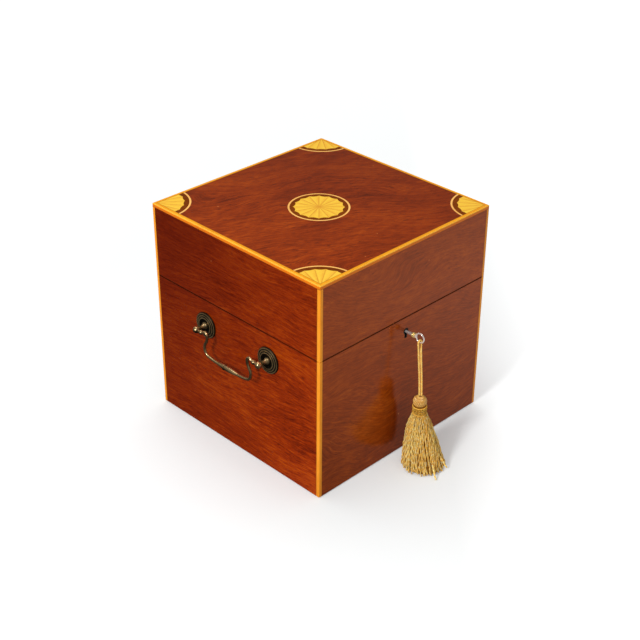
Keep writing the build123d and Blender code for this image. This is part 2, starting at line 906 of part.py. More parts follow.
# The bit pushes the bolt to the left, by the strip at its left, and back by the step at its right.
bolt_strip_right = key_radius + bolt_travel + bolt_play
bolt_frame_right = bolt_strip_right + horn_width
nose_tip = hook_bar_width / 2 + hook_nose / 2
finger_tip = nose_tip + bolt_play
horn_left = finger_tip + bolt_travel
horn_right = horn_left + horn_width
bolt_right = hook_centres[-1] + horn_right


def bolt_rectangle(left, right, foot, top, mode=Mode.ADD):
    with Locations(((left + right) / 2, key_height + (foot + top) / 2)):
        Rectangle(right - left, top - foot, mode=mode)


with BuildPart() as lock_bolt:
    with BuildSketch(front_plane(bolt_back)):
        bolt_rectangle(bolt_frame_left, bolt_right, bolt_bar_foot, bolt_bar_top)
        bolt_rectangle(bolt_frame_left, bolt_strip_left, bolt_floor_foot, bolt_bar_top)
        bolt_rectangle(bolt_strip_right, bolt_frame_right, bolt_floor_foot, bolt_bar_top)
        bolt_rectangle(bolt_frame_left, bolt_frame_right, bolt_floor_foot, bolt_floor_top)
        bolt_rectangle(bolt_step_left, bolt_step_right, bolt_floor_foot, bolt_step_top)
        for centre in hook_centres:
            bolt_rectangle(centre + finger_tip, centre + horn_right, finger_foot, finger_top)
            bolt_rectangle(centre + horn_left, centre + horn_right, bolt_bar_foot, finger_top)
        for peg in peg_places:
            slot_left = peg - peg_radius - peg_clearance
            slot_right = peg + peg_radius + peg_clearance + bolt_travel
            middle = (bolt_bar_foot + bolt_bar_top) / 2
            half_slot = peg_radius + peg_clearance
            bolt_rectangle(
                slot_left, slot_right, middle - half_slot, middle + half_slot, mode=Mode.SUBTRACT
            )
    extrude(amount=bolt_thickness)
finish(lock_bolt, "lock_bolt")

with BuildPart() as lock_drill_pin:
    with BuildSketch(front_plane(lock_back)):
        with Locations((0, key_height)):
            Circle(drill_pin_radius)
    extrude(amount=drill_pin_length)
finish(lock_drill_pin, "lock_drill_pin")

with BuildPart() as lock_spring:
    spring_end = key_height - lock_drop + lock_skin + spring_seat_gap
    spring_crest = key_height + bolt_floor_foot - spring_seat_gap
    with BuildSketch(front_plane(bolt_back)):
        with BuildLine():
            ThreePointArc(
                (-spring_half_length, spring_end + spring_thickness),
                (0, spring_crest),
                (spring_half_length, spring_end + spring_thickness),
            )
            Line((spring_half_length, spring_end + spring_thickness), (spring_half_length, spring_end))
            ThreePointArc(
                (spring_half_length, spring_end),
                (0, spring_crest - spring_thickness),
                (-spring_half_length, spring_end),
            )
            Line((-spring_half_length, spring_end), (-spring_half_length, spring_end + spring_thickness))
        make_face()
    extrude(amount=bolt_thickness)
finish(lock_spring, "lock_spring")

screw_set(lock_screws, "lock_screws")

with BuildPart() as keyhole_liner:
    liner_back = -half_depth + liner_depth
    extrude(
        keyhole_outline(
            liner_back,
            keyhole_radius + liner_thickness,
            keyhole_slot + 2 * liner_thickness,
            keyhole_reach + liner_thickness,
        ),
        amount=liner_depth,
    )
    extrude(
        keyhole_outline(liner_back, keyhole_radius, keyhole_slot, keyhole_reach),
        amount=liner_depth,
        mode=Mode.SUBTRACT,
    )
finish(keyhole_liner, "keyhole_liner")

with BuildPart() as link_plate:
    with BuildSketch(Plane.XY.offset(lid_rim)):
        with Locations((0, bolt_middle)):
            Rectangle(link_plate_width, link_plate_depth)
    extrude(amount=link_plate_thickness)
    with BuildSketch(front_plane(bolt_back)):
        for centre in hook_centres:
            hook_left = centre - nose_tip
            bolt_rectangle(hook_left, hook_left + hook_bar_width, hook_foot, lid_rim - key_height)
            bolt_rectangle(hook_left, centre + nose_tip, hook_foot, hook_nose_top)
    extrude(amount=bolt_thickness)
    with Locations(*link_screws):
        CounterSinkHole(screw_radius, screw_head_radius, counter_sink_angle=countersink_angle)
finish(link_plate, "link_plate")
screw_set(link_screws, "link_plate_screws")


# Key

key_tip = lock_back - key_tip_gap
bit_back = key_tip - key_tip_gap

with BuildPart() as key_shank:
    with BuildSketch(front_plane(key_tip)):
        with Locations((0, key_height)):
            Circle(key_radius)
    extrude(amount=half_depth + key_collar_far + key_tip)
    with BuildSketch(front_plane(bit_back)):
        with Locations((0, key_height - bit_reach / 2)):
            Rectangle(bit_width, bit_reach)
    extrude(amount=bit_length)
    with BuildSketch(front_plane(bit_back - bit_length / 2 + bit_ward / 2)):
        with Locations((0, key_height - bit_reach)):
            Rectangle(2 * bit_width, bit_reach / 2)
    extrude(amount=bit_ward, mode=Mode.SUBTRACT)
    with BuildSketch(front_plane(key_tip)):
        with Locations((0, key_height)):
            Circle(key_bore_radius)
    extrude(amount=key_bore_depth, mode=Mode.SUBTRACT)
finish(key_shank, "key_shank")

with BuildPart() as key_collar:
    near = -half_depth - key_collar_near
    far = -half_depth - key_collar_far
    middle = (near + far) / 2
    with BuildSketch(Plane.YZ):
        with BuildLine():
            ThreePointArc(
                (near, key_height + key_radius),
                ((near + middle) / 2, key_height + key_collar_radius),
                (middle, key_height + (key_radius + key_collar_radius) / 2),
            )
            ThreePointArc(
                (middle, key_height + (key_radius + key_collar_radius) / 2),
                ((middle + far) / 2, key_height + key_collar_radius),
                (far, key_height + key_radius),
            )
            Line((far, key_height + key_radius), (near, key_height + key_radius))
        make_face()
    revolve(axis=Axis((0, 0, key_height), (0, 1, 0)))
finish(key_collar, "key_collar")

with BuildPart() as key_bow:
    with Locations((0, bow_y, key_height)):
        Torus(bow_ring_radius, bow_wire_radius, rotation=(0, 90, 0))
    with BuildSketch(front_plane(-half_depth - key_collar_far)):
        with Locations((0, key_height)):
            Circle(key_radius)
    extrude(amount=bow_reach - bow_ring_radius - key_collar_far)
finish(key_bow, "key_bow")


# Tassel: the cord goes from the head up through the bow, over its lowest wire and back.

head_top = tassel_head_height + tassel_head_flat
loop_middle = bow_foot - cord_loop_drop
loop_half_tangent = cord_spread * tan(radians(30))
cord_flared = cord_strand_offset + cord_flare_x
cord_half = [
    (cord_strand_offset, tassel_y - cord_strand_offset, head_top),
    (cord_strand_offset, tassel_y - cord_strand_offset, head_top + cord_straight),
    (cord_flared, bow_y - cord_strand_offset - cord_flare_y, loop_middle - cord_straight),
    (cord_spread, bow_y, loop_middle - cord_loop_leg),
    (cord_spread, bow_y, loop_middle + loop_half_tangent),
]
cord_crown = [(0.0, bow_y, loop_middle + 2 * loop_half_tangent)]
cord_other_half = [
    (-cord_spread, bow_y, loop_middle + loop_half_tangent),
    (-cord_spread, bow_y, loop_middle - cord_loop_leg),
    (-cord_flared, bow_y + cord_strand_offset - cord_flare_y, loop_middle - cord_straight),
    (-cord_strand_offset, tassel_y + cord_strand_offset, head_top + cord_straight),
    (-cord_strand_offset, tassel_y + cord_strand_offset, head_top),
]
cord_route = cord_half + cord_crown + cord_other_half
cord_radii = corner_radii(cord_route)
print("cord corner radii", [round(radius, 2) for radius in cord_radii])

with BuildPart() as tassel_cord:
    with BuildLine() as cord_path:
        FilletPolyline(*cord_route, radius=cord_radii)
    with BuildSketch(Plane(origin=cord_path.line @ 0, z_dir=cord_path.line % 0)):
        Circle(cord_radius)
    sweep()
cord_length = sum(edge.length for edge in cord_path.edges())
cord_share = tassel_cord.part.volume / (pi * cord_radius ** 2 * cord_length)
print("cord length", round(cord_length, 2), "volume over section by length", round(cord_share, 4))
finish(tassel_cord, "tassel_cord")

with BuildPart() as tassel_head:
    with BuildSketch(Plane.XZ.offset(-tassel_y)):
        with Locations((0, tassel_head_height)):
            Circle(tassel_head_radius)
        middle_height = (tassel_collar_top + head_top) / 2
        with Locations((tassel_head_radius / 2, middle_height)):
            Rectangle(tassel_head_radius, head_top - tassel_collar_top, mode=Mode.INTERSECT)
    revolve(axis=Axis((0, tassel_y, 0), (0, 0, 1)))
finish(tassel_head, "tassel_head")

with BuildPart() as tassel_collar:
    with BuildSketch(Plane.XY.offset(tassel_collar_foot)):
        with Locations((0, tassel_y)):
            Circle(tassel_collar_radius)
    extrude(amount=tassel_collar_top - tassel_collar_foot)
    fillet(tassel_collar.edges().filter_by(GeomType.CIRCLE), tassel_collar_edge)
finish(tassel_collar, "tassel_collar")

with BuildPart() as tassel_skirt:
    for fall, lean, opening in skirt_shares:
        height = tassel_collar_foot + fall * (skirt_hem_height - tassel_collar_foot)
        with BuildSketch(Plane.XY.offset(height)):
            with Locations((lean * skirt_lean_x, tassel_y + lean * skirt_lean_y)):
                Circle(skirt_neck_radius + opening * (skirt_hem_radius - skirt_neck_radius))
    loft()
finish(tassel_skirt, "tassel_skirt")
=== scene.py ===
import bpy
import bmesh
import math
from mathutils import Matrix, Vector


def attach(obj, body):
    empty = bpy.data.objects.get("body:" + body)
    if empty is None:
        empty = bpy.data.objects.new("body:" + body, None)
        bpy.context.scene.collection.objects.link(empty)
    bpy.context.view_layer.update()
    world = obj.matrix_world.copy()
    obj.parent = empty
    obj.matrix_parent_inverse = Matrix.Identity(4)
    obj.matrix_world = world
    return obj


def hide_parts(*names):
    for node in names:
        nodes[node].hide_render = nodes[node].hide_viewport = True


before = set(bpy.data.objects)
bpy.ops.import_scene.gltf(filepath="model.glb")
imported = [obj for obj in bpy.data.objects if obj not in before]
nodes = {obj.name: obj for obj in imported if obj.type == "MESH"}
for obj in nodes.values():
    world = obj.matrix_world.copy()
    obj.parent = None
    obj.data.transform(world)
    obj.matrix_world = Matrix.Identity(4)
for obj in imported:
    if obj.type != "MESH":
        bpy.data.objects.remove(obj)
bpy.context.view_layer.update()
mm = 0.001
fullTurn = 2 * math.pi

# Camera, first of all

photoCamera = {
    "location": (-0.79014, -0.790967, 0.766349),
    "azimuth": -44.9627,
    "elevation": 30.84006,
    "roll": 0.35971,
    "lens": 72.8155,
    "sensor": 36,
    "near": 0.05,
    "far": 30,
}


def linkObject(name, data):
    obj = bpy.data.objects.new(name, data)
    bpy.context.scene.collection.objects.link(obj)
    return obj


def makeCamera(s):
    az, el, roll = (math.radians(s[key]) for key in ("azimuth", "elevation", "roll"))
    back = Vector((math.sin(az) * math.cos(el), -math.cos(az) * math.cos(el), math.sin(el)))
    right = Vector((0, 0, 1)).cross(back).normalized()
    up = back.cross(right)
    tiltedRight = right * math.cos(roll) + up * math.sin(roll)
    tiltedUp = up * math.cos(roll) - right * math.sin(roll)
    data = bpy.data.cameras.new("photoCamera")
    data.sensor_width = s["sensor"]
    data.lens = s["lens"]
    data.clip_start = s["near"]
    data.clip_end = s["far"]
    cam = linkObject("photoCamera", data)
    turn = Matrix((tiltedRight, tiltedUp, back)).transposed().to_4x4()
    cam.matrix_world = Matrix.Translation(s["location"]) @ turn
    bpy.context.scene.camera = cam


makeCamera(photoCamera)
print("camera placed")

# Node helpers


def srgb(r, g, b):
    def linear(c):
        c /= 255
        return c / 12.92 if c <= 0.04045 else ((c + 0.055) / 1.055) ** 2.4
    return (linear(r), linear(g), linear(b), 1)


def table(columns, rows):
    return {name: dict(zip(columns, row)) for name, row in rows.items()}


def feed(tree, sockets, values):
    # Each value is linked when it comes from another node, and set when it doesn't
    for key, value in values.items():
        if isinstance(value, bpy.types.NodeSocket):
            tree.links.new(value, sockets[key])
        else:
            sockets[key].default_value = value


def put(tree, kind, inputs=None, **settings):
    node = tree.nodes.new(kind)
    for key, value in settings.items():
        setattr(node, key, value)
    feed(tree, node.inputs, inputs or {})
    return node


def calc(tree, operation, *values, clamp=False):
    inputs = dict(enumerate(values))
    return put(tree, "ShaderNodeMath", inputs, operation=operation, use_clamp=clamp).outputs[0]


def add(tree, first, *others):
    for other in others:
        first = calc(tree, "ADD", first, other)
    return first


def mul(tree, first, *others):
    for other in others:
        first = calc(tree, "MULTIPLY", first, other)
    return first


def sub(tree, a, b):
    return calc(tree, "SUBTRACT", a, b)


def vectorCalc(tree, operation, *vectors, output=0):
    node = put(tree, "ShaderNodeVectorMath", dict(enumerate(vectors)), operation=operation)
    return node.outputs[output]


def split(tree, vector):
    return list(put(tree, "ShaderNodeSeparateXYZ", {0: vector}).outputs)


def ramp(tree, value, low, high, outLow=0.0, outHigh=1.0):
    node = put(tree, "ShaderNodeMapRange", {0: value, 1: low, 2: high, 3: outLow, 4: outHigh})
    return node.outputs[0]


def mixColor(tree, factor, a, b, blend="MIX"):
    node = put(tree, "ShaderNodeMix", {0: factor, 6: a, 7: b}, data_type="RGBA", blend_type=blend)
    return node.outputs[2]


def noise(tree, vector, scale, detail=3.0, roughness=0.5, distortion=0.0):
    inputs = {
        "Vector": vector, "Scale": scale, "Detail": detail, "Roughness": roughness,
        "Distortion": distortion,
    }
    return put(tree, "ShaderNodeTexNoise", inputs).outputs[0]


def mapped(tree, vector, scale=(1, 1, 1), location=(0, 0, 0), rotation=(0, 0, 0)):
    inputs = {"Vector": vector, "Location": location, "Rotation": rotation, "Scale": scale}
    return put(tree, "ShaderNodeMapping", inputs).outputs[0]


def newGroup(name, inputs, outputs, kind="ShaderNodeTree"):
    # Labels of the inputs and outputs, listed by the kind of their sockets
    group = bpy.data.node_groups.new(name, kind)
    for way, sockets in (("INPUT", inputs), ("OUTPUT", outputs)):
        for what, labels in sockets.items():
            for label in labels:
                group.interface.new_socket(label, in_out=way, socket_type="NodeSocket" + what)
    return group, put(group, "NodeGroupInput").outputs, put(group, "NodeGroupOutput").inputs


def useGroup(tree, group, **inputs):
    return put(tree, "ShaderNodeGroup", inputs, node_tree=group).outputs


def newMaterial(name, sockets):
    mat = bpy.data.materials.new(name)
    mat.use_nodes = True
    tree = mat.node_tree
    tree.nodes.clear()
    out = put(tree, "ShaderNodeOutputMaterial")
    bsdf = put(tree, "ShaderNodeBsdfPrincipled", sockets)
    tree.links.new(bsdf.outputs[0], out.inputs[0])
    return mat, tree, bsdf.inputs


def objectPlace(tree):
    return put(tree, "ShaderNodeTexCoord").outputs["Object"]


def facingUp(tree):
    return split(tree, put(tree, "ShaderNodeTexCoord").outputs["Normal"])[2]


def bumped(tree, bsdf, height, distance, strength):
    bump = put(tree, "ShaderNodeBump", {"Height": height, "Distance": distance, "Strength": strength})
    tree.links.new(bump.outputs[0], bsdf["Normal"])


# Shader groups

grainLayers = {  # how often each layer of the grain repeats in a metre, along it and across it
    "wander": (6, 9, 9), "cloud": (9, 22, 22), "streak": (32, 560, 560),
    "thread": (120, 1300, 1300), "pore": (190, 1200, 1200), "ripple": (42, 110, 110),
}


def makeGrainGroup(layers):
    # Grain runs along x of the vector that comes in, and the board's face is in x and y
    group, given, out = newGroup(
        "boardGrain",
        {
            "Vector": ["Vector"], "Color": ["Dark", "Middle", "Light"],
            "Float": ["Streaks", "Pores", "Figure", "Cloud", "Swirl", "Tilt"],
        },
        {"Color": ["Color"], "Float": ["Height", "Gloss"]},
    )

    def layer(name, vector, *rest, location=(0, 0, 0)):
        return noise(group, mapped(group, vector, layers[name], location), 1.0, *rest)

    def around(value, strength):
        return mul(group, sub(group, value, 0.5), strength)

    turned = {"Vector": given["Vector"], "Angle": given["Tilt"]}
    tilted = put(group, "ShaderNodeVectorRotate", turned, rotation_type="Z_AXIS").outputs[0]
    shift = around(layer("wander", tilted, 2.0), given["Swirl"])
    sideways = put(group, "ShaderNodeCombineXYZ", {"Y": shift}).outputs[0]
    bent = vectorCalc(group, "ADD", tilted, sideways)
    cloud = layer("cloud", bent, 4.0, 0.55, 0.6)
    streak = layer("streak", bent, 4.0, 0.6)
    thread = layer("thread", bent, 3.0, 0.65)
    pore = layer("pore", bent, 2.0, 0.5, location=(3, 7, 1))
    ripple = layer("ripple", given["Vector"], 2.0, 0.5, 1.1, location=(5, 2, 8))
    tone = add(
        group, around(cloud, given["Cloud"]), 0.5, around(streak, given["Streaks"]),
        around(thread, mul(group, given["Streaks"], 1.05)), around(ripple, given["Figure"]),
    )
    low = mixColor(group, ramp(group, tone, 0.0, 0.5), given["Dark"], given["Middle"])
    color = mixColor(group, ramp(group, tone, 0.5, 1.05), low, given["Light"])
    deep = mul(group, ramp(group, pore, 0.60, 0.70), given["Pores"])
    color = mixColor(group, deep, color, mixColor(group, 0.8, color, given["Dark"]))
    feed(group, out, {
        "Color": color, "Height": sub(group, mul(group, thread, 0.3), deep),
        "Gloss": add(group, mul(group, cloud, 0.5), mul(group, deep, 0.5)),
    })
    return group


def makeNickGroup():
    # Small pale marks and specks, as old polish has
    group, given, out = newGroup(
        "oldNicks",
        {"Vector": ["Vector"], "Color": ["Color", "Mark"], "Float": ["Amount"]},
        {"Color": ["Color"]},
    )
    inputs = {"Vector": mapped(group, given["Vector"], (34, 34, 34)), "Scale": 1.0, "Randomness": 1.0}
    spots = put(group, "ShaderNodeTexVoronoi", inputs, feature="F1").outputs["Distance"]
    size = mul(group, noise(group, given["Vector"], 30.0, 1.0), 0.055)
    mask = mul(group, calc(group, "LESS_THAN", spots, size), given["Amount"])
    group.links.new(mixColor(group, mask, given["Color"], given["Mark"]), out["Color"])
    return group


def makeSeamGroup():
    # Dirt and painted shadow along the line where the lid meets the case
    group, given, out = newGroup(
        "seamDirtAndShade",
        {"Vector": ["Vector"], "Color": ["Color"], "Float": ["Level", "Reach", "Upright"]},
        {"Color": ["Color"], "Float": ["Mask"]},
    )
    height = split(group, given["Vector"])[2]
    away = calc(group, "ABSOLUTE", sub(group, height, given["Level"]))
    mask = ramp(group, away, mul(group, given["Reach"], 0.4), given["Reach"], 0.9, 0.0)
    mask = mul(group, mask, given["Upright"])
    feed(group, out, {"Color": mixColor(group, mask, given["Color"], srgb(30, 8, 2)), "Mask": mask})
    return group


def makeFanGroup():
    # Flutes of a fan inlay about the origin of the vector that comes in
    group, given, out = newGroup(
        "fanFlutes",
        {"Vector": ["Vector"], "Color": ["Bright", "Shaded", "Line"], "Float": ["Flutes", "Reach"]},
        {"Color": ["Color"], "Float": ["Height"]},
    )
    x, y = split(group, given["Vector"])[:2]
    radius = calc(group, "SQRT", add(group, mul(group, x, x), mul(group, y, y)))
    turn = calc(group, "DIVIDE", calc(group, "ARCTAN2", y, x), fullTurn)
    share = calc(group, "FRACT", add(group, mul(group, turn, given["Flutes"]), 64.0))
    edge = sub(group, 0.5, calc(group, "ABSOLUTE", sub(group, share, 0.5)))
    width = calc(group, "DIVIDE", mul(group, edge, fullTurn, radius), given["Flutes"])
    # Scorched along one side of each flute, most of all near the middle of the fan
    burn = calc(group, "POWER", ramp(group, share, 0.0, 0.8, 1.0, 0.0), 1.5)
    outward = ramp(group, calc(group, "DIVIDE", radius, given["Reach"]), 0.15, 1.0, 1.0, 0.35)
    wobble = noise(group, given["Vector"], 240.0, 2.0)
    burn = mul(group, burn, outward, ramp(group, wobble, 0.25, 0.75, 0.35, 1.3))
    fibres = noise(group, mapped(group, given["Vector"], (900, 900, 900)), 1.0, 3.0)
    color = mixColor(group, burn, given["Bright"], given["Shaded"])
    color = mixColor(group, ramp(group, fibres, 0.35, 0.8, 0.0, 0.35), color, given["Shaded"])
    line = ramp(group, width, 0.0001, 0.0007, 0.55, 0.0)
    color = mixColor(group, line, color, given["Line"])
    feed(group, out, {"Color": color, "Height": sub(group, 1.0, line)})
    return group


def makePatinaGroup():
    # Dark bronzing with the metal showing where it is rubbed
    group, given, out = newGroup(
        "rubbedPatina",
        {"Vector": ["Vector"], "Color": ["Dark", "Bare"], "Float": ["Rub", "Scale"]},
        {"Color": ["Color"], "Float": ["Roughness", "Height"]},
    )
    blot = noise(group, given["Vector"], given["Scale"], 2.0, 0.5)
    fine = noise(group, given["Vector"], mul(group, given["Scale"], 9.0), 2.0)
    blotted = mul(group, ramp(group, blot, 0.3, 0.7), 0.4)
    bare = calc(group, "ADD", blotted, given["Rub"], clamp=True)
    bare = calc(group, "MULTIPLY", bare, ramp(group, fine, 0.2, 0.55, 0.75, 1.0), clamp=True)
    feed(group, out, {
        "Color": mixColor(group, bare, given["Dark"], given["Bare"]),
        "Roughness": ramp(group, bare, 0.0, 1.0, 0.42, 0.2), "Height": fine,
    })
    return group


def makeThreadGroup():
    # Fine silk fibres, whose bright flecks are painted glints and dark flecks painted shade, and slight
    # changes of tone from thread to thread
    group, given, out = newGroup(
        "silkThread",
        {"Vector": ["Vector"], "Color": ["Shade", "Silk", "Shine"], "Float": ["Scale"]},
        {"Color": ["Color"], "Float": ["Height"]},
    )
    fleck = noise(group, given["Vector"], given["Scale"], 2.0, 0.6)
    patch = noise(group, given["Vector"], mul(group, given["Scale"], 0.12), 2.0)
    color = mixColor(group, ramp(group, patch, 0.3, 0.7), given["Shade"], given["Silk"])
    # Bright flecks: painted glints along the fibres
    color = mixColor(group, ramp(group, fleck, 0.5, 0.66, 0.0, 0.9), color, given["Shine"])
    # Dark flecks: painted shade along the fibres
    color = mixColor(group, ramp(group, fleck, 0.46, 0.34, 0.0, 0.8), color, given["Shade"])
    feed(group, out, {"Color": color, "Height": fleck})
    return group


boardGrain = makeGrainGroup(grainLayers)
oldNicks = makeNickGroup()
seamDirtAndShade = makeSeamGroup()
fanFlutes = makeFanGroup()
rubbedPatina = makePatinaGroup()
silkThread = makeThreadGroup()
print("shader groups made")

# Woods

boardTurns = {  # rotations that bring a board's grain to x and its face to x and y
    "acrossBox": ((1, 0, 0), (0, 0, 1), (0, -1, 0)),
    "intoBox": ((0, 1, 0), (0, 0, 1), (1, 0, 0)),
    "upright": ((0, 0, 1), (0, 1, 0), (-1, 0, 0)),
    "lying": ((1, 0, 0), (0, 1, 0), (0, 0, 1)),
}

mahogany = {
    "front": {
        "turn": "acrossBox", "ior": 1.9, "level": 0.62, "polish": (0.13, 0.21),
        "dark": srgb(82, 28, 3), "middle": srgb(136, 53, 4), "light": srgb(176, 82, 9),
        "streaks": 0.9, "pores": 0.7, "figure": 0.6, "cloud": 0.6, "swirl": 0.09,
        "tilt": math.radians(8), "fade": ((0, 0, 1), 0.228, 0.0, 0.0),
    },
    "side": {
        "turn": "intoBox", "ior": 1.5, "level": 0.3, "polish": (0.2, 0.3),
        "dark": srgb(80, 14, 1), "middle": srgb(150, 46, 1), "light": srgb(196, 82, 3),
        "streaks": 1.15, "pores": 1.0, "figure": 0.45, "cloud": 0.9, "swirl": 0.042,
        "tilt": math.radians(2), "fade": ((0, 0.7, 0.5), -0.06, 0.15, 0.75),
    },
    "top": {
        "turn": "lying", "ior": 1.5, "level": 0.25, "polish": (0.2, 0.32),
        "dark": srgb(74, 20, 2), "middle": srgb(146, 51, 3), "light": srgb(190, 82, 8),
        "streaks": 0.8, "pores": 1.0, "figure": 0.45, "cloud": 0.75, "swirl": 0.1,
        "tilt": math.radians(34), "fade": ((0.8, 0.3, 0), -0.09, 0.09, 0.34),
    },
    "inside": {
        "turn": "acrossBox", "ior": 1.5, "level": 0.3, "polish": (0.3, 0.45),
        "dark": srgb(64, 30, 18), "middle": srgb(104, 54, 30), "light": srgb(138, 80, 46),
        "streaks": 0.8, "pores": 0.6, "figure": 0.3, "cloud": 0.8, "swirl": 0.03,
        "tilt": 0.0, "fade": ((0, 0, 1), 0.228, 0.0, 0.0),
    },
}
lidSeam = {"Level": 0.151, "Reach": 0.0012}


def boardLook(tree, place, s, mark=None):
    # The grain that s asks for and its colour, with nicks when mark gives theirs
    turned = mapped(tree, place, rotation=Matrix(boardTurns[s["turn"]]).to_euler())
    keys = ("dark", "middle", "light", "streaks", "pores", "figure", "cloud", "swirl", "tilt")
    grain = useGroup(tree, boardGrain, Vector=turned, **{key.capitalize(): s[key] for key in keys})
    if mark is None:
        return grain, grain["Color"]
    nicks = useGroup(tree, oldNicks, Vector=turned, Color=grain["Color"], Mark=mark, Amount=0.6)
    return grain, nicks["Color"]


def makeMahogany(face, s):
    mat, tree, bsdf = newMaterial("mahogany" + face.capitalize(), {
        "IOR": s["ior"], "Specular IOR Level": s["level"], "Specular Tint": (1.0, 0.2, 0.03, 1),
    })
    place = objectPlace(tree)
    grain, color = boardLook(tree, place, s, srgb(214, 124, 62))
    # Darker towards one end of the board, along the way and over the span that the fade entry gives
    way, start, end, depth = s["fade"]
    along = vectorCalc(tree, "DOT_PRODUCT", place, way, output=1)
    faded = mixColor(tree, ramp(tree, along, start, end, 0.0, depth), color, s["dark"])
    # Dirt and painted shadow along the lid's seam, on upright faces only
    upright = ramp(tree, calc(tree, "ABSOLUTE", facingUp(tree)), 0.3, 0.7, 1.0, 0.0)
    seam = useGroup(tree, seamDirtAndShade, Vector=place, Color=faded, Upright=upright, **lidSeam)
    shine = ramp(tree, grain["Gloss"], 0.0, 1.0, *s["polish"])
    rough = calc(tree, "MAXIMUM", shine, seam["Mask"])
    feed(tree, bsdf, {"Base Color": seam["Color"], "Roughness": rough})
    bumped(tree, bsdf, grain["Height"], 0.00005, 0.3)
    return mat


woods = {face: makeMahogany(face, s) for face, s in mahogany.items()}

paleGrain = {"streaks": 0.5, "pores": 0.25, "figure": 0.3, "cloud": 0.7, "swirl": 0.02, "tilt": 0.0}
paleWood = table(("edges", "turn", "dark", "middle", "light"), {
    "boxwoodUpright": ("upright", "upright", srgb(200, 106, 12), srgb(240, 148, 30), srgb(252, 172, 56)),
    "boxwoodAlong": ("along", "lying", srgb(206, 118, 2), srgb(244, 160, 6), srgb(253, 186, 22)),
    "boxwoodRing": (None, "lying", srgb(226, 152, 70), srgb(255, 192, 100), srgb(255, 214, 136)),
    "pineBottom": (None, "lying", srgb(120, 84, 48), srgb(168, 126, 80), srgb(196, 158, 108)),
})
stringing = {  # where the strips' edges lie, measured from the middle of the box and from the floor
    "line": (0.1103, 0.1109), "lineColor": srgb(110, 48, 10), "belowTop": 0.114,
    "sideTop": (0.2268, 0.2276), "paintedSideShade": srgb(232, 182, 80),
    "arrisTop": (0.2266, 0.2276), "arrisOuter": (0.1124, 0.1136), "arrisWearAndHighlight": srgb(255, 204, 90),
}


def stringingEdges(tree, color, edges, s):
    # Polish has gathered dark beside the stringing. The edge strip's side face gets painted shade, and its
    # arris is made pale, partly rubbed and partly a painted highlight
    x, y, z = split(tree, vectorCalc(tree, "ABSOLUTE", objectPlace(tree)))
    if edges == "along":
        outer = calc(tree, "MAXIMUM", x, y)
        inner = calc(tree, "MINIMUM", outer, sub(tree, z, s["belowTop"]))
        # Painted shade on the side face, below the top of the strip
        sideShaded = mixColor(tree, 1.0, color, s["paintedSideShade"], "MULTIPLY")
        color = mixColor(tree, ramp(tree, z, *s["sideTop"], 1.0, 0.0), color, sideShaded)
        # The arris made pale: rubbed, and partly a painted highlight
        arris = calc(tree, "MINIMUM", ramp(tree, z, *s["arrisTop"]), ramp(tree, outer, *s["arrisOuter"]))
        color = mixColor(tree, mul(tree, arris, 0.4), color, s["arrisWearAndHighlight"])
    else:
        inner = calc(tree, "MINIMUM", x, y)
    return mixColor(tree, ramp(tree, inner, *s["line"], 0.85, 0.0), color, s["lineColor"])


def makePaleWood(name, s):
    mat, tree, bsdf = newMaterial(name, {"Specular IOR Level": 0.35, "Specular Tint": (1.0, 0.6, 0.3, 1)})
    grain, color = boardLook(tree, objectPlace(tree), {**paleGrain, **s}, srgb(120, 60, 24))
    if s["edges"]:
        color = stringingEdges(tree, color, s["edges"], stringing)
    feed(tree, bsdf, {"Base Color": color, "Roughness": ramp(tree, grain["Gloss"], 0.0, 1.0, 0.26, 0.4)})
    bumped(tree, bsdf, grain["Height"], 0.00004, 0.3)
    return mat


paleWoods = {name: makePaleWood(name, s) for name, s in paleWood.items()}

fans = {
    "satinwoodPatera": {"centre": (-0.0059, -0.0034), "flutes": 16.0, "reach": 0.025, "corners": False},
    "satinwoodCorner": {"centre": (0.114, 0.114), "flutes": 20.0, "reach": 0.0314, "corners": True},
}
fanColors = {"Bright": srgb(255, 208, 62), "Shaded": srgb(232, 150, 28), "Line": srgb(204, 118, 20)}


def makeFanWood(name, s):
    mat, tree, bsdf = newMaterial(
        name, {"Specular IOR Level": 0.6, "Specular Tint": (1.0, 0.7, 0.3, 1), "Roughness": 0.34}
    )
    place = objectPlace(tree)
    if s["corners"]:  # the same quarter fan in all four corners
        place = vectorCalc(tree, "ABSOLUTE", place)
    centred = mapped(tree, place, location=(-s["centre"][0], -s["centre"][1], 0))
    fan = useGroup(tree, fanFlutes, Vector=centred, Flutes=s["flutes"], Reach=s["reach"], **fanColors)
    tree.links.new(fan["Color"], bsdf["Base Color"])
    bumped(tree, bsdf, fan["Height"], 0.00004, 0.5)
    return mat


fanWoods = {name: makeFanWood(name, s) for name, s in fans.items()}

groundWood = {
    "turn": "lying", "dark": srgb(84, 34, 2), "middle": srgb(122, 56, 6), "light": srgb(150, 76, 12),
    "streaks": 0.6, "pores": 0.2, "figure": 0.4, "cloud": 0.8, "swirl": 0.02, "tilt": 0.6,
}


def makeDarkGround(s):
    mat, tree, bsdf = newMaterial("darkGround", {
        "Specular IOR Level": 0.04, "Specular Tint": (1.0, 0.3, 0.06, 1), "Roughness": 0.4,
    })
    tree.links.new(boardLook(tree, objectPlace(tree), s)[1], bsdf["Base Color"])
    return mat


baize = {"deep": srgb(24, 52, 34), "green": srgb(50, 88, 58), "worn": srgb(86, 104, 70), "fibres": 1400.0}


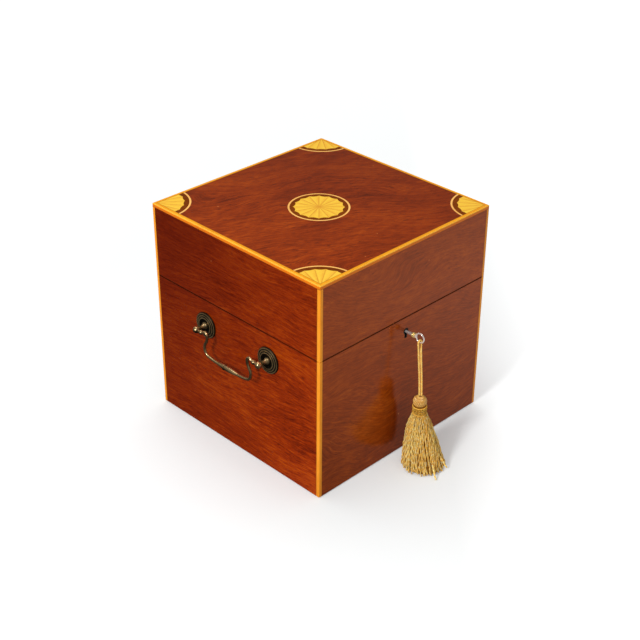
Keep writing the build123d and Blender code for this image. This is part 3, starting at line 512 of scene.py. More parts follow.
def makeBaize(s):
    mat, tree, bsdf = newMaterial("greenBaize", {
        "Sheen Weight": 0.5, "Sheen Roughness": 0.4, "Roughness": 0.95, "Specular IOR Level": 0.2,
    })
    place = objectPlace(tree)
    fuzz = noise(tree, place, s["fibres"], 3.0, 0.7)
    worn = noise(tree, place, 18.0, 3.0)
    color = mixColor(tree, ramp(tree, fuzz, 0.3, 0.7), s["deep"], s["green"])
    color = mixColor(tree, ramp(tree, worn, 0.5, 0.75, 0.0, 0.4), color, s["worn"])
    tree.links.new(color, bsdf["Base Color"])
    bumped(tree, bsdf, fuzz, 0.0002, 0.6)
    return mat


darkGround = makeDarkGround(groundWood)
greenBaize = makeBaize(baize)

# Metals; the column for the upper side is how much paler that side is made: rubbed, and partly a painted
# highlight from the light above

metals = table(("dark", "bare", "rub", "upperRubAndHighlight", "scale", "metallic"), {
    "bronzedBrass": (srgb(46, 34, 20), srgb(248, 210, 150), 0.0, 0.6, 55.0, 0.9),
    "hingeBrass": (srgb(110, 84, 40), srgb(216, 176, 104), 0.35, 0.0, 120.0, 0.85),
    "lockBrass": (srgb(104, 82, 42), srgb(214, 174, 104), 0.3, 0.0, 90.0, 0.85),
    "lockIron": (srgb(44, 42, 40), srgb(120, 116, 110), 0.15, 0.0, 110.0, 0.8),
    "screwSteel": (srgb(84, 80, 74), srgb(176, 170, 160), 0.3, 0.0, 260.0, 0.8),
    # Nearly black: painted shade inside the keyhole
    "linerBrass": (srgb(16, 12, 8), srgb(70, 58, 42), 0.05, 0.0, 420.0, 0.8),
    "keySteel": (srgb(92, 90, 90), srgb(240, 236, 232), 0.5, 0.0, 420.0, 0.7),
    "keyBrass": (srgb(190, 140, 60), srgb(255, 226, 150), 0.6, 0.0, 420.0, 0.6),
    "bowSteel": (srgb(200, 176, 160), srgb(255, 244, 236), 0.7, 0.0, 420.0, 0.55),
})


def wearMetal(tree, bsdf, place, s, rub):
    patina = useGroup(
        tree, rubbedPatina, Vector=place, Dark=s["dark"], Bare=s["bare"], Rub=rub, Scale=s["scale"]
    )
    feed(tree, bsdf, {"Base Color": patina["Color"], "Roughness": patina["Roughness"]})
    bumped(tree, bsdf, patina["Height"], 0.00004, 0.12)


def makeMetal(name, s):
    mat, tree, bsdf = newMaterial(name, {"Metallic": s["metallic"]})
    rub = s["rub"]
    if s["upperRubAndHighlight"]:
        # The upper side made paler: rubbed, and partly a painted highlight
        rub = calc(tree, "MULTIPLY_ADD", ramp(tree, facingUp(tree), 0.1, 0.8), s["upperRubAndHighlight"], rub)
    wearMetal(tree, bsdf, objectPlace(tree), s, rub)
    return mat


metalOf = {name: makeMetal(name, s) for name, s in metals.items()}

rose = {
    **metals["bronzedBrass"], "dark": srgb(40, 32, 20), "forward": 0.0034, "halfApart": 0.0438,
    "height": 0.1235, "outer": 0.0136, "ringPitch": 0.0022, "hub": (0.0066, 0.0075),
}


def makeRoseBrass(s):
    # The rose's rings: rubbed on their crests, dark between them
    mat, tree, bsdf = newMaterial("roseBrass", {"Metallic": s["metallic"]})
    place = objectPlace(tree)
    x, y, z = split(tree, place)
    along = sub(tree, calc(tree, "ABSOLUTE", add(tree, y, s["forward"])), s["halfApart"])
    rise = sub(tree, z, s["height"])
    radius = calc(tree, "SQRT", add(tree, mul(tree, along, along), mul(tree, rise, rise)))
    inward = calc(tree, "DIVIDE", sub(tree, s["outer"], radius), s["ringPitch"])
    fromCrest = calc(tree, "ABSOLUTE", sub(tree, calc(tree, "FRACT", inward), 0.5))
    crest = sub(tree, 1.0, mul(tree, fromCrest, 2.0))
    rub = mul(tree, sub(tree, crest, 0.5), 1.5)
    rub = calc(tree, "MINIMUM", rub, ramp(tree, radius, *s["hub"], -0.5, 0.5))
    wearMetal(tree, bsdf, place, s, rub)
    return mat


roseBrass = makeRoseBrass(rose)

# Silk

silks = table(("shade", "silk", "shine", "toneAndGrooveShade", "scale", "coat"), {
    "silkCord": (srgb(232, 168, 70), srgb(255, 208, 106), srgb(255, 234, 156), srgb(110, 62, 12), 1100, 0.1),
    "silkHead": (srgb(252, 196, 96), srgb(255, 216, 124), srgb(255, 240, 176), srgb(176, 108, 26), 1500, 1),
    "silkNet": (srgb(236, 164, 40), srgb(255, 196, 66), srgb(255, 230, 124), srgb(96, 52, 8), 900, 0.2),
    "silkYarn": (srgb(255, 200, 90), srgb(255, 222, 120), srgb(255, 246, 186), srgb(168, 100, 22), 500, 0),
    # The dark silk of the cores is painted shade seen between the threads
    "silkCoreShade": (srgb(110, 66, 14), srgb(140, 88, 24), srgb(170, 112, 36), srgb(80, 46, 10), 900, 0),
})
silkSockets = {
    "Roughness": 0.42, "IOR": 1.45, "Specular IOR Level": 0.2, "Specular Tint": (1.0, 0.85, 0.45, 1),
    "Sheen Weight": 0.25, "Sheen Roughness": 0.4, "Sheen Tint": (1.0, 0.72, 0.26, 1),
    "Coat Roughness": 0.3, "Coat IOR": 1.7, "Coat Tint": (1.0, 0.9, 0.7, 1),
}


def makeSilk(name, s):
    mat, tree, bsdf = newMaterial(name, {**silkSockets, "Coat Weight": s["coat"]})
    colors = {key.capitalize(): s[key] for key in ("shade", "silk", "shine", "scale")}
    thread = useGroup(tree, silkThread, Vector=objectPlace(tree), **colors)
    # Threads carry how deep between their plies a point lies, which is darkened as painted shade, and a
    # random tone of their own
    groove, shade = (
        put(tree, "ShaderNodeAttribute", attribute_name=key).outputs["Fac"] for key in ("groove", "shade")
    )
    # Painted shade deep between the plies
    color = mixColor(tree, ramp(tree, groove, 0.3, 1.0, 0.0, 0.95), thread["Color"], s["toneAndGrooveShade"])
    color = mixColor(tree, mul(tree, shade, 0.16), color, s["toneAndGrooveShade"])
    tree.links.new(color, bsdf["Base Color"])
    bumped(tree, bsdf, thread["Height"], 0.00008, 0.4)
    return mat


silkOf = {name: makeSilk(name, s) for name, s in silks.items()}
print("materials made")

# CAD nodes that keep their shape take their finish

nodeFinish = {
    woods["front"]: ["case_front", "case_back", "lid_front", "lid_back"],
    woods["side"]: ["case_left_side", "case_right_side", "lid_left_side", "lid_right_side"],
    woods["top"]: ["lid_top_panel"],
    woods["inside"]: ["long_partition", "cross_partition"],
    paleWoods["pineBottom"]: ["case_bottom"],
    paleWoods["boxwoodUpright"]: ["case_corner_stringing", "lid_corner_stringing"],
    paleWoods["boxwoodAlong"]: ["lid_edge_stringing"],
    paleWoods["boxwoodRing"]: ["patera_ring", "corner_rings"],
    fanWoods["satinwoodPatera"]: ["patera_fan"],
    fanWoods["satinwoodCorner"]: ["corner_fans"],
    darkGround: ["patera_ground", "corner_grounds"],
    greenBaize: ["base_cloth", "cell_pads", "lid_pad"],
    metalOf["bronzedBrass"]: ["left_bail", "right_bail", "left_handle_posts", "right_handle_posts"],
    roseBrass: ["left_handle_roses", "right_handle_roses"],
    metalOf["hingeBrass"]: [
        "left_hinge_case_leaf", "right_hinge_case_leaf", "left_hinge_lid_leaf", "right_hinge_lid_leaf",
        "left_hinge_pin", "right_hinge_pin",
    ],
    metalOf["lockBrass"]: ["lock_plate", "link_plate"],
    metalOf["lockIron"]: ["lock_case", "lock_bolt", "lock_spring", "lock_drill_pin", "handle_post_nuts"],
    metalOf["screwSteel"]: ["lock_screws", "link_plate_screws", "case_hinge_screws", "lid_hinge_screws"],
    metalOf["linerBrass"]: ["keyhole_liner"],
    metalOf["keySteel"]: ["key_shank"],
    metalOf["keyBrass"]: ["key_collar"],
    metalOf["bowSteel"]: ["key_bow"],
}

for material, names in nodeFinish.items():
    for name in names:
        for slot in nodes[name].material_slots:
            slot.material = material
print("nodes finished")

# Mesh helpers


def anglesOf(count):
    return [fullTurn * k / count for k in range(count)]


def circleOf(bm, centre, radius, z, sides):
    x, y = centre
    return [bm.verts.new((x + radius * math.cos(a), y + radius * math.sin(a), z)) for a in anglesOf(sides)]


def joinRings(bm, rings, caps=False, closed=False):
    # Faces between one ring of vertices and the next; a ring of one vertex is a pole
    for low, high in zip(rings, rings[1:] + (rings[:1] if closed else [])):
        count = max(len(low), len(high))
        for k in range(count):
            n = (k + 1) % count
            if len(low) == 1:
                bm.faces.new((low[0], high[k], high[n]))
            elif len(high) == 1:
                bm.faces.new((low[k], low[n], high[0]))
            else:
                bm.faces.new((low[k], low[n], high[n], high[k]))
    if caps:
        bm.faces.new(list(reversed(rings[0])))
        bm.faces.new(rings[-1])


def tubeAlong(bm, frames, radius, sides, closed=False):
    rings = []
    for point, normal, side in frames:
        across = [normal * math.cos(a) + side * math.sin(a) for a in anglesOf(sides)]
        rings.append([bm.verts.new(point + way * radius) for way in across])
    joinRings(bm, rings, not closed, closed)


def meshObject(name, bm, material):
    bmesh.ops.recalc_face_normals(bm, faces=bm.faces)
    mesh = bpy.data.meshes.new(name)
    bm.to_mesh(mesh)
    bm.free()
    mesh.materials.append(material)
    for face in mesh.polygons:
        face.use_smooth = True
    return linkObject(name, mesh)


def splinePath(points, resolution):
    curve = bpy.data.curves.new("cordPath", "CURVE")
    curve.dimensions = "3D"
    curve.resolution_u = resolution
    spline = curve.splines.new("NURBS")
    spline.points.add(len(points) - 1)
    for point, place in zip(spline.points, points):
        point.co = (*[c * mm for c in place], 1)
    spline.order_u = 3
    spline.use_endpoint_u = True
    holder = linkObject("cordPath", curve)
    bpy.context.view_layer.update()
    mesh = bpy.data.meshes.new_from_object(holder.evaluated_get(bpy.context.evaluated_depsgraph_get()))
    path = [vertex.co.copy() for vertex in mesh.vertices]
    bpy.data.objects.remove(holder)
    bpy.data.curves.remove(curve)
    bpy.data.meshes.remove(mesh)
    return path


def evenPath(path, step):
    lengths = [0.0]
    for a, b in zip(path, path[1:]):
        lengths.append(lengths[-1] + (b - a).length)
    count = max(2, round(lengths[-1] / step))
    even, index = [], 0
    for k in range(count + 1):
        target = lengths[-1] * k / count
        while index < len(path) - 2 and lengths[index + 1] < target:
            index += 1
        span = lengths[index + 1] - lengths[index]
        even.append(path[index].lerp(path[index + 1], (target - lengths[index]) / span if span else 0))
    return even, lengths[-1]


def pathFrames(path):
    # Each point with two directions across the path, which don't spin round it
    frames = []
    normal = None
    for index, point in enumerate(path):
        tangent = (path[min(index + 1, len(path) - 1)] - path[max(index - 1, 0)]).normalized()
        if normal is None:
            normal = tangent.orthogonal().normalized()
        normal = (normal - tangent * normal.dot(tangent)).normalized()
        frames.append((point, normal, tangent.cross(normal)))
    return frames


def layCord(bm, points, s):
    # Twisted plies along a smooth spline through control points in millimetres
    path, length = evenPath(splinePath(points, s["resolution"]), s["step"])
    for ply in range(s["plies"]):
        strand = []
        for index, (point, normal, side) in enumerate(pathFrames(path)):
            turns = index * length / (len(path) - 1) / s["twist"] + ply / s["plies"]
            across = normal * math.cos(fullTurn * turns) + side * math.sin(fullTurn * turns)
            strand.append(point + across * s["plyOffset"])
        tubeAlong(bm, pathFrames(strand), s["plyRadius"], s["sides"])
    return path, length


# Tassel cord: the CAD route's points as the spline's control points

tasselCord = {
    "diameter": 2.0 * mm, "plies": 3, "plyRadius": 0.5 * mm, "plyOffset": 0.5 * mm, "twist": 5.2 * mm,
    "resolution": 24, "step": 0.45 * mm, "sides": 8, "headTop": 72.9, "tasselY": -135.6,
    "bowY": -131.6, "loopMiddle": 130.85, "spread": 2.05, "strand": 0.75, "straight": 9.0,
    "loopSlope": math.radians(30), "loopLegs": 3.0, "inset": 0.4, "ease": 0.1,
}


def cordPoints(s):
    strand, spread, bowY, tasselY, middle = (
        s[key] for key in ("strand", "spread", "bowY", "tasselY", "loopMiddle")
    )
    rise = spread * math.tan(s["loopSlope"])
    low, straight = s["headTop"], s["straight"]
    return [
        (strand, tasselY - strand, low),
        (strand, tasselY - strand, low + straight),
        (strand + s["ease"], bowY - strand - s["inset"], middle - straight),
        (spread, bowY, middle - s["loopLegs"]),
        (spread, bowY, middle + rise),
        (0.0, bowY, middle + 2 * rise),
        (-spread, bowY, middle + rise),
        (-spread, bowY, middle - s["loopLegs"]),
        (-strand - s["ease"], bowY + strand - s["inset"], middle - straight),
        (-strand, tasselY + strand, low + straight),
        (-strand, tasselY + strand, low),
    ]


def makeCord(s):
    bm = bmesh.new()
    path, length = layCord(bm, cordPoints(s), s)
    return meshObject("tasselCord", bm, silkOf["silkCord"]), path, length


cord, cordPath, cordLength = makeCord(tasselCord)
print("cord made, length", round(cordLength, 4))

# Tassel head, net and skirt: threads laid by geometry nodes over a closed core, dark so as to give painted
# shade between the threads

tasselHead = {
    "centre": (0.0, -135.6, 66.7), "radius": 6.05, "top": 5.6, "threads": 24, "thread": 0.85,
    "points": 34, "firstLift": math.radians(76), "liftRange": math.radians(138), "swirl": 0.5,
    "ply": 16.0, "core": 0.97, "coreRings": 16, "coreReach": 1.45, "dimple": 1.2,
}
tasselNet = {
    "centre": (0.0, -135.6), "foot": 53.6, "top": 61.6, "radius": 6.6, "waist": 0.3, "pairs": 15,
    "thread": 0.62, "points": 40, "turns": 0.17, "weave": 0.36, "ply": 9.0, "coreRings": 8,
    "coreInset": 0.25, "coreFlat": 0.96, "coreLip": 0.1, "coreMouth": 0.9,
}
netBand = {
    "fromTop": -0.1, "fromFoot": 0.2, "out": 0.05, "points": 144, "twists": 22, "offset": 0.26,
    "ply": 0.34, "sides": 6,
}
tasselSkirt = {
    "centre": (0.0, -135.6), "top": 54.6, "foot": 0.7, "neck": 6.2, "hem": 21.0, "lean": (-4.0, -12.0),
    "stops": ((0.0, 0.0, 0.0), (0.24, 0.1, 0.34), (0.6, 0.45, 0.68), (1.0, 1.0, 1.0)),
    "threads": 104, "thread": 0.98, "twist": 6.6, "seed": 7, "points": 56, "jitter": 0.05,
    "lengths": (0.94, 1.02), "bury": 1.3, "wave": 0.55, "waveRate": (3.0, 9.0), "crinkle": 0.3,
    "crinkleRate": (12.0, 26.0), "crinkleTurn": 0.014, "sway": 0.06, "anyPhase": 6.2, "lowest": 1.1,
    "laidLength": 50, "coreRings": 24, "coreSides": 64, "coreNeck": 0.6, "coreHem": 1.2, "coreFoot": 1.6,
}
strayYarn = {
    "plies": 2, "plyRadius": 0.5 * mm, "plyOffset": 0.4 * mm, "twist": tasselSkirt["twist"] * mm,
    "resolution": 16, "step": 0.5 * mm, "sides": 8,
    "routes": [
        [(3.0, -158.5, 16.0), (5.2, -164.0, 8.0), (4.6, -167.2, 4.6), (6.4, -168.6, 2.0)],
        [(-11.0, -164.5, 12.0), (-13.0, -168.5, 5.5), (-14.2, -171.2, 2.4), (-15.2, -173.4, 1.3)],
    ],
}


def latheCore(name, profile, centre, segments=48):
    # Closed surface of revolution about a vertical line; the profile runs from axis to axis
    bm = bmesh.new()
    middle = (centre[0] * mm, centre[1] * mm)
    joinRings(bm, [circleOf(bm, middle, r, z, segments if r > 0 else 1) for r, z in profile])
    return meshObject(name, bm, silkOf["silkCoreShade"])


def makeHeadCore(s):
    z = s["centre"][2] * mm
    profile = [(0.0, z + (s["top"] - s["dimple"]) * mm)]
    for k in range(1, s["coreRings"] + 1):
        angle = math.pi / 2 - k * math.pi / 2 / s["coreRings"] * s["coreReach"]
        height = s["top"] * math.sin(angle)
        profile.append((s["radius"] * math.cos(angle) * s["core"] * mm, z + height * s["core"] * mm))
    profile.append((0.0, profile[-1][1]))
    return latheCore("tasselHeadCore", profile, s["centre"])


def makeNetCore(s):
    low, high, radius = s["foot"] * mm, s["top"] * mm, (s["radius"] - s["coreInset"]) * mm
    profile = [(0.0, low), (radius * s["coreFlat"], low)]
    for k in range(s["coreRings"] + 1):
        share = k / s["coreRings"]
        drawnIn = s["waist"] * math.sin(math.pi * share) * mm
        profile.append((radius - drawnIn, low + (high - low) * share))
    lip = high + s["coreLip"] * mm
    profile += [(radius * s["coreMouth"], lip), (0.0, lip)]
    return latheCore("tasselNetCore", profile, s["centre"])


def skirtAt(s, t):
    # Lean and opening, part of the way down the skirt
    stops = s["stops"]
    for (t0, l0, o0), (t1, l1, o1) in zip(stops, stops[1:]):
        if t <= t1:
            share = (t - t0) / (t1 - t0)
            return l0 + (l1 - l0) * share, o0 + (o1 - o0) * share
    return 1.0, 1.0


# A dark cone inside the skirt, which stands only for the painted shade seen between the yarns
def makeSkirtShadeCore(s):
    bm = bmesh.new()
    rings = []
    for k in range(s["coreRings"] + 1):
        t = k / s["coreRings"]
        lean, opening = skirtAt(s, t)
        radius = (s["neck"] - s["coreNeck"] + opening * (s["hem"] - s["neck"] - s["coreHem"])) * mm
        centre = [(at + lean * way) * mm for at, way in zip(s["centre"], s["lean"])]
        z = (s["top"] + t * (s["foot"] + s["coreFoot"] - s["top"])) * mm
        rings.append(circleOf(bm, centre, radius, z, s["coreSides"]))
    joinRings(bm, rings, caps=True)
    return meshObject("tasselSkirtShadeCore", bm, silkOf["silkCoreShade"])


headCore = makeHeadCore(tasselHead)
netCore = makeNetCore(tasselNet)
skirtShadeCore = makeSkirtShadeCore(tasselSkirt)
print("tassel cores made")

# Geometry nodes that lay threads


def randomValue(tree, low, high, seed, ident):
    inputs = {2: low, 3: high, "ID": ident, "Seed": seed}
    return put(tree, "FunctionNodeRandomValue", inputs, data_type="FLOAT").outputs[1]


def geoStep(tree, kind, geometry, **inputs):
    # A geometry node, whose first input and output are the geometry
    return put(tree, "GeometryNode" + kind, {0: geometry, **inputs}).outputs[0]


def threadProfile(tree, radius, lobes, depth):
    # Cross-section of a thread of twisted plies: a circle pressed in between them
    circle = put(tree, "GeometryNodeCurvePrimitiveCircle", {"Resolution": lobes * 4, "Radius": 1.0})
    factor = put(tree, "GeometryNodeSplineParameter").outputs["Factor"]
    wave = calc(tree, "COSINE", mul(tree, factor, fullTurn * lobes))
    size = mul(tree, add(tree, mul(tree, wave, depth), 1 - depth), radius)
    inputs = {0: put(tree, "GeometryNodeInputPosition").outputs[0], "Scale": size}
    scaled = put(tree, "ShaderNodeVectorMath", inputs, operation="SCALE").outputs[0]
    pressed = geoStep(tree, "SetPosition", circle.outputs[0], Position=scaled)
    groove = calc(tree, "MULTIPLY_ADD", wave, -0.5, 0.5)
    return geoStep(tree, "StoreNamedAttribute", pressed, Name="groove", Value=groove)


def threadTree(name, material, placeThreads, depth, thinAt=1.0, ints=(), floats=()):
    # Copies of one line, bent into place by placeThreads and given a section of two twisted plies
    tree, given, out = newGroup(
        name,
        {"Geometry": ["Geometry"], "Int": ["Threads", "Points", *ints], "Float": ["Thickness", *floats]},
        {"Geometry": ["Geometry"]}, "GeometryNodeTree",
    )
    line = put(tree, "GeometryNodeCurvePrimitiveLine", {"Start": (0, 0, 0), "End": (0, 0, 1)})
    points = geoStep(tree, "ResampleCurve", line.outputs[0], Count=given["Points"])
    inputs = {"Geometry": points, "Amount": given["Threads"]}
    copies = put(tree, "GeometryNodeDuplicateElements", inputs, domain="SPLINE").outputs
    caught = put(tree, "GeometryNodeCaptureAttribute", {"Geometry": copies["Geometry"]}, domain="CURVE")
    caught.capture_items.new("INT", "Thread")
    tree.links.new(copies["Duplicate Index"], caught.inputs[1])
    index = caught.outputs[1]
    t = put(tree, "GeometryNodeSplineParameter").outputs["Factor"]
    position, tilt = placeThreads(tree, given, index, t)
    bent = geoStep(tree, "SetPosition", caught.outputs[0], Position=position)
    shade = randomValue(tree, 0.0, 1.0, 61, index)
    shaded = geoStep(tree, "StoreNamedAttribute", bent, Name="shade", Value=shade)
    tilted = geoStep(tree, "SetCurveTilt", shaded, Tilt=tilt)
    section = threadProfile(tree, given["Thickness"], 2, depth)
    scale = ramp(tree, t, 0.0, 0.4, thinAt, 1.0)
    sweep = {"Profile Curve": section, "Scale": scale, "Fill Caps": True}
    tube = geoStep(tree, "CurveToMesh", tilted, **sweep)
    real = geoStep(tree, "RealizeInstances", tube)
    tree.links.new(geoStep(tree, "SetMaterial", real, Material=material), out[0])
    return tree


def applyTree(name, tree, s, threads, **more):
    values = {"Threads": threads, "Points": s["points"], "Thickness": s["thread"] * mm, **more}
    obj = linkObject(name, bpy.data.meshes.new(name))
    mod = obj.modifiers.new("threads", "NODES")
    mod.node_group = tree
    for item in tree.interface.items_tree:
        if item.item_type == "SOCKET" and item.in_out == "INPUT" and item.name in values:
            mod[item.identifier] = values[item.name]
    bpy.context.view_layer.update()
    made = bpy.data.meshes.new_from_object(obj.evaluated_get(bpy.context.evaluated_depsgraph_get()))
    obj.modifiers.clear()
    obj.data = made
    made.name = name
    for face in made.polygons:
        face.use_smooth = True
    return obj


def evenAngle(tree, given, index):
    return calc(tree, "DIVIDE", mul(tree, index, fullTurn), given["Threads"])


def polarPlace(tree, radius, angle, z, cx, cy):
    x = add(tree, mul(tree, radius, calc(tree, "COSINE", angle)), cx)
    y = add(tree, mul(tree, radius, calc(tree, "SINE", angle)), cy)
    return put(tree, "ShaderNodeCombineXYZ", {"X": x, "Y": y, "Z": z}).outputs[0]


def stepCurve(tree, t, stops):
    # A value that runs through (t, value) stops
    node = put(tree, "ShaderNodeFloatCurve", {"Value": t})
    curve = node.mapping.curves[0]
    curve.points[0].location = stops[0]
    curve.points[1].location = stops[-1]
    for stop in stops[1:-1]:
        curve.points.new(*stop)
    for point in curve.points:
        point.handle_type = "AUTO"
    node.mapping.update()
    return node.outputs[0]


def makeSkirtYarns(s):
    def place(tree, given, index, t):
        def some(low, high, seed):
            return randomValue(tree, low, high, seed, index)

        def waveOf(rate, rateSeed, phaseSeed):
            turned = mul(tree, t, some(*rate, rateSeed))
            return calc(tree, "SINE", add(tree, turned, some(0.0, s["anyPhase"], phaseSeed)))

        angle = add(tree, evenAngle(tree, given, index), some(-s["jitter"], s["jitter"], given["Seed"]))
        reach = mul(tree, t, some(*s["lengths"], 11))
        opening = stepCurve(tree, reach, [(fall, opened) for fall, lean, opened in s["stops"]])
        lean = stepCurve(tree, reach, [(fall, lean) for fall, lean, opened in s["stops"]])
        depth = mul(tree, some(-s["bury"], 0.0, 23), mm)
        wave = mul(tree, waveOf(s["waveRate"], 31, 37), t, s["wave"] * mm)
        crinkle = waveOf(s["crinkleRate"], 53, 59)
        wave = calc(tree, "MULTIPLY_ADD", crinkle, s["crinkle"] * mm, wave)
        angle = calc(tree, "MULTIPLY_ADD", crinkle, s["crinkleTurn"], angle)
        radius = add(tree, mul(tree, opening, given["Spread"]), given["Neck"], depth, wave)
        angle = add(tree, angle, mul(tree, some(-s["sway"], s["sway"], 41), t, t))
        cx, cy = (
            add(tree, mul(tree, lean, way * mm), at * mm) for at, way in zip(s["centre"], s["lean"])
        )
        fallen = sub(tree, s["top"] * mm, mul(tree, reach, (s["top"] - s["foot"]) * mm))
        z = calc(tree, "MAXIMUM", fallen, s["lowest"] * mm)
        twisted = mul(tree, t, fullTurn * s["laidLength"] / s["twist"] / 2)
        tilt = add(tree, twisted, some(0.0, s["anyPhase"], 43))
        return polarPlace(tree, radius, angle, z, cx, cy), tilt

    tree = threadTree("skirtYarns", silkOf["silkYarn"], place, 0.4, 0.5, ["Seed"], ["Neck", "Spread"])
    more = {"Seed": s["seed"], "Neck": s["neck"] * mm, "Spread": (s["hem"] - s["neck"]) * mm}
    return applyTree("tasselSkirtYarns", tree, s, s["threads"], **more)


def makeStrays(s):
    # Two yarns that lie outside the rest of the hem
    bm = bmesh.new()
    for route in s["routes"]:
        layCord(bm, route, s)
    return meshObject("tasselStrays", bm, silkOf["silkYarn"])


def makeHeadThreads(s):
    def place(tree, given, index, t):
        lift = sub(tree, s["firstLift"], mul(tree, t, s["liftRange"]))
        angle = add(tree, evenAngle(tree, given, index), mul(tree, t, s["swirl"]))
        radius = mul(tree, calc(tree, "COSINE", lift), s["radius"] * mm)
        x, y, middle = (c * mm for c in s["centre"])
        z = add(tree, mul(tree, calc(tree, "SINE", lift), s["top"] * mm), middle)
        return polarPlace(tree, radius, angle, z, x, y), mul(tree, t, s["ply"])

    tree = threadTree("headThreads", silkOf["silkHead"], place, 0.06)
    return applyTree("tasselHeadThreads", tree, s, s["threads"])


def makeNetThreads(s):
    def place(tree, given, index, t):
        # Even threads climb one way and odd ones the other, each over and under the rest
        way = sub(tree, mul(tree, calc(tree, "MODULO", index, 2.0), 2.0), 1.0)
        climb = mul(tree, way, t, fullTurn * s["turns"])
        angle = add(tree, evenAngle(tree, given, index), climb)
        crossing = calc(tree, "SINE", mul(tree, t, fullTurn * s["pairs"] * s["turns"]))
        waist = mul(tree, calc(tree, "SINE", mul(tree, t, math.pi)), -s["waist"] * mm)
        radius = add(tree, s["radius"] * mm, waist, mul(tree, crossing, s["weave"] * mm, way))
        z = add(tree, mul(tree, t, (s["top"] - s["foot"]) * mm), s["foot"] * mm)
        x, y = (c * mm for c in s["centre"])
        return polarPlace(tree, radius, angle, z, x, y), mul(tree, t, s["ply"])

    tree = threadTree("netThreads", silkOf["silkNet"], place, 0.3)
    return applyTree("tasselNetThreads", tree, s, 2 * s["pairs"])


def ringFrames(ring):
    frames = []
    for k, point in enumerate(ring):
        tangent = (ring[(k + 1) % len(ring)] - ring[k - 1]).normalized()
        normal = (Vector((0, 0, 1)) - tangent * tangent.z).normalized()
        frames.append((point, normal, tangent.cross(normal)))
    return frames


def makeNetBands(net, s):
    # A twisted cord round the top of the net and one round its foot
    bm = bmesh.new()
    x, y = (c * mm for c in net["centre"])
    for height in (net["top"] + s["fromTop"], net["foot"] + s["fromFoot"]):
        for ply in range(2):
            ring = []
            for a in anglesOf(s["points"]):
                roll = a * s["twists"] + ply * math.pi
                r = (net["radius"] + s["out"] + s["offset"] * math.cos(roll)) * mm
                z = (height + s["offset"] * math.sin(roll)) * mm
                ring.append(Vector((x + r * math.cos(a), y + r * math.sin(a), z)))
            tubeAlong(bm, ringFrames(ring), s["ply"] * mm, s["sides"], closed=True)
    return meshObject("tasselNetBands", bm, silkOf["silkNet"])


skirtYarns = makeSkirtYarns(tasselSkirt)
strays = makeStrays(strayYarn)
headThreads = makeHeadThreads(tasselHead)
netThreads = makeNetThreads(tasselNet)
netBands = makeNetBands(tasselNet, netBand)
print("tassel threads made, faces of the skirt's", len(skirtYarns.data.polygons))

# Floor and light

studio = {
    "reach": 8.0, "floor": (0.78, 0.80, 0.80, 1), "glowFrom": (0.4, 1.6), "glowNear": 0.2,
    "glowFar": 0.5, "rightFrom": (0.18, 0.34), "glowRight": 0.28, "world": 0.46, "worldInGloss": 0.16,
    "glossFrom": (-0.12, 0.55), "glossLeft": (0.05, 0.05, 0.05, 1), "glossRight": (0.6, 0.6, 0.6, 1),
    "aim": (0, 0, 0.1),
    "lamps": [
        {"name": "leftWindow", "place": (-1.7, -0.3, 1.2), "size": 0.45, "power": 25.0},
        {"name": "topSoft", "place": (0.2, 0.5, 2.0), "size": 1.8, "power": 15.0},
    ],
}


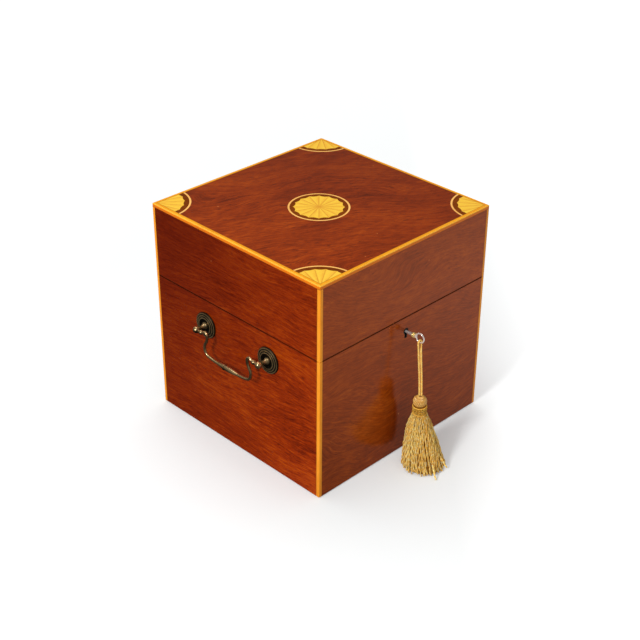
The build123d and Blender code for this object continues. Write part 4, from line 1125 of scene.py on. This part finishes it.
def makeFloor(s):
    reach = s["reach"]
    mesh = bpy.data.meshes.new("floor")
    corners = [(-reach, -reach, 0), (reach, -reach, 0), (reach, reach, 0), (-reach, reach, 0)]
    mesh.from_pydata(corners, [], [(0, 1, 2, 3)])
    floor = linkObject("floor", mesh)
    mat, tree, bsdf = newMaterial("floorPaper", {
        "Base Color": s["floor"], "Roughness": 0.9, "Specular IOR Level": 0.1,
        "Emission Color": (1, 1, 1, 1),
    })
    place = objectPlace(tree)
    path = put(tree, "ShaderNodeLightPath").outputs
    away = vectorCalc(tree, "LENGTH", place, output=1)
    glow = ramp(tree, away, *s["glowFrom"], s["glowNear"], s["glowFar"])
    x, y = split(tree, place)[:2]
    across = sub(tree, x, y)
    # Painted light to the right of the box, which lifts its shadow on the floor there
    glow = add(tree, glow, ramp(tree, across, *s["rightFrom"], 0.0, s["glowRight"]))
    tree.links.new(mul(tree, path["Is Camera Ray"], glow), bsdf["Emission Strength"])
    # What the polish mirrors: a dark corner of the room on the left, the paler side on the right
    mirror = mixColor(tree, ramp(tree, across, *s["glossFrom"]), s["glossLeft"], s["glossRight"])
    mirrored = put(tree, "ShaderNodeEmission", {"Color": mirror}).outputs[0]
    out = next(node for node in tree.nodes if node.type == "OUTPUT_MATERIAL").inputs[0]
    seen = out.links[0].from_socket
    both = put(tree, "ShaderNodeMixShader", {0: path["Is Glossy Ray"], 1: seen, 2: mirrored})
    tree.links.new(both.outputs[0], out)
    mesh.materials.append(mat)


def makeLight(s):
    world = bpy.data.worlds.new("studioWorld")
    bpy.context.scene.world = world
    world.use_nodes = True
    tree = world.node_tree
    path = put(tree, "ShaderNodeLightPath").outputs
    seen = calc(tree, "MAXIMUM", path["Is Camera Ray"], path["Is Transmission Ray"])
    change = s["worldInGloss"] - s["world"]
    strength = calc(tree, "MULTIPLY_ADD", path["Is Glossy Ray"], change, s["world"])
    strength = calc(tree, "MULTIPLY_ADD", seen, sub(tree, 1.0, strength), strength)
    feed(tree, tree.nodes["Background"].inputs, {"Color": (1, 1, 1, 1), "Strength": strength})

    for lamp in s["lamps"]:
        light = bpy.data.lights.new(lamp["name"], "AREA")
        light.shape = "DISK"
        light.size = lamp["size"]
        light.energy = lamp["power"]
        obj = linkObject(lamp["name"], light)
        obj.location = lamp["place"]
        aim = Vector(s["aim"]) - Vector(lamp["place"])
        obj.rotation_euler = aim.to_track_quat("-Z", "Y").to_euler()
    bpy.context.scene.view_settings.view_transform = "Standard"


makeFloor(studio)
makeLight(studio)
print("studio made")

# What rides on what

for piece in (cord, headCore, netCore, skirtShadeCore, skirtYarns, strays, headThreads, netThreads, netBands):
    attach(piece, "tassel")
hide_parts("tassel_cord")
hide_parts("tassel_head")
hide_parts("tassel_collar")
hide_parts("tassel_skirt")
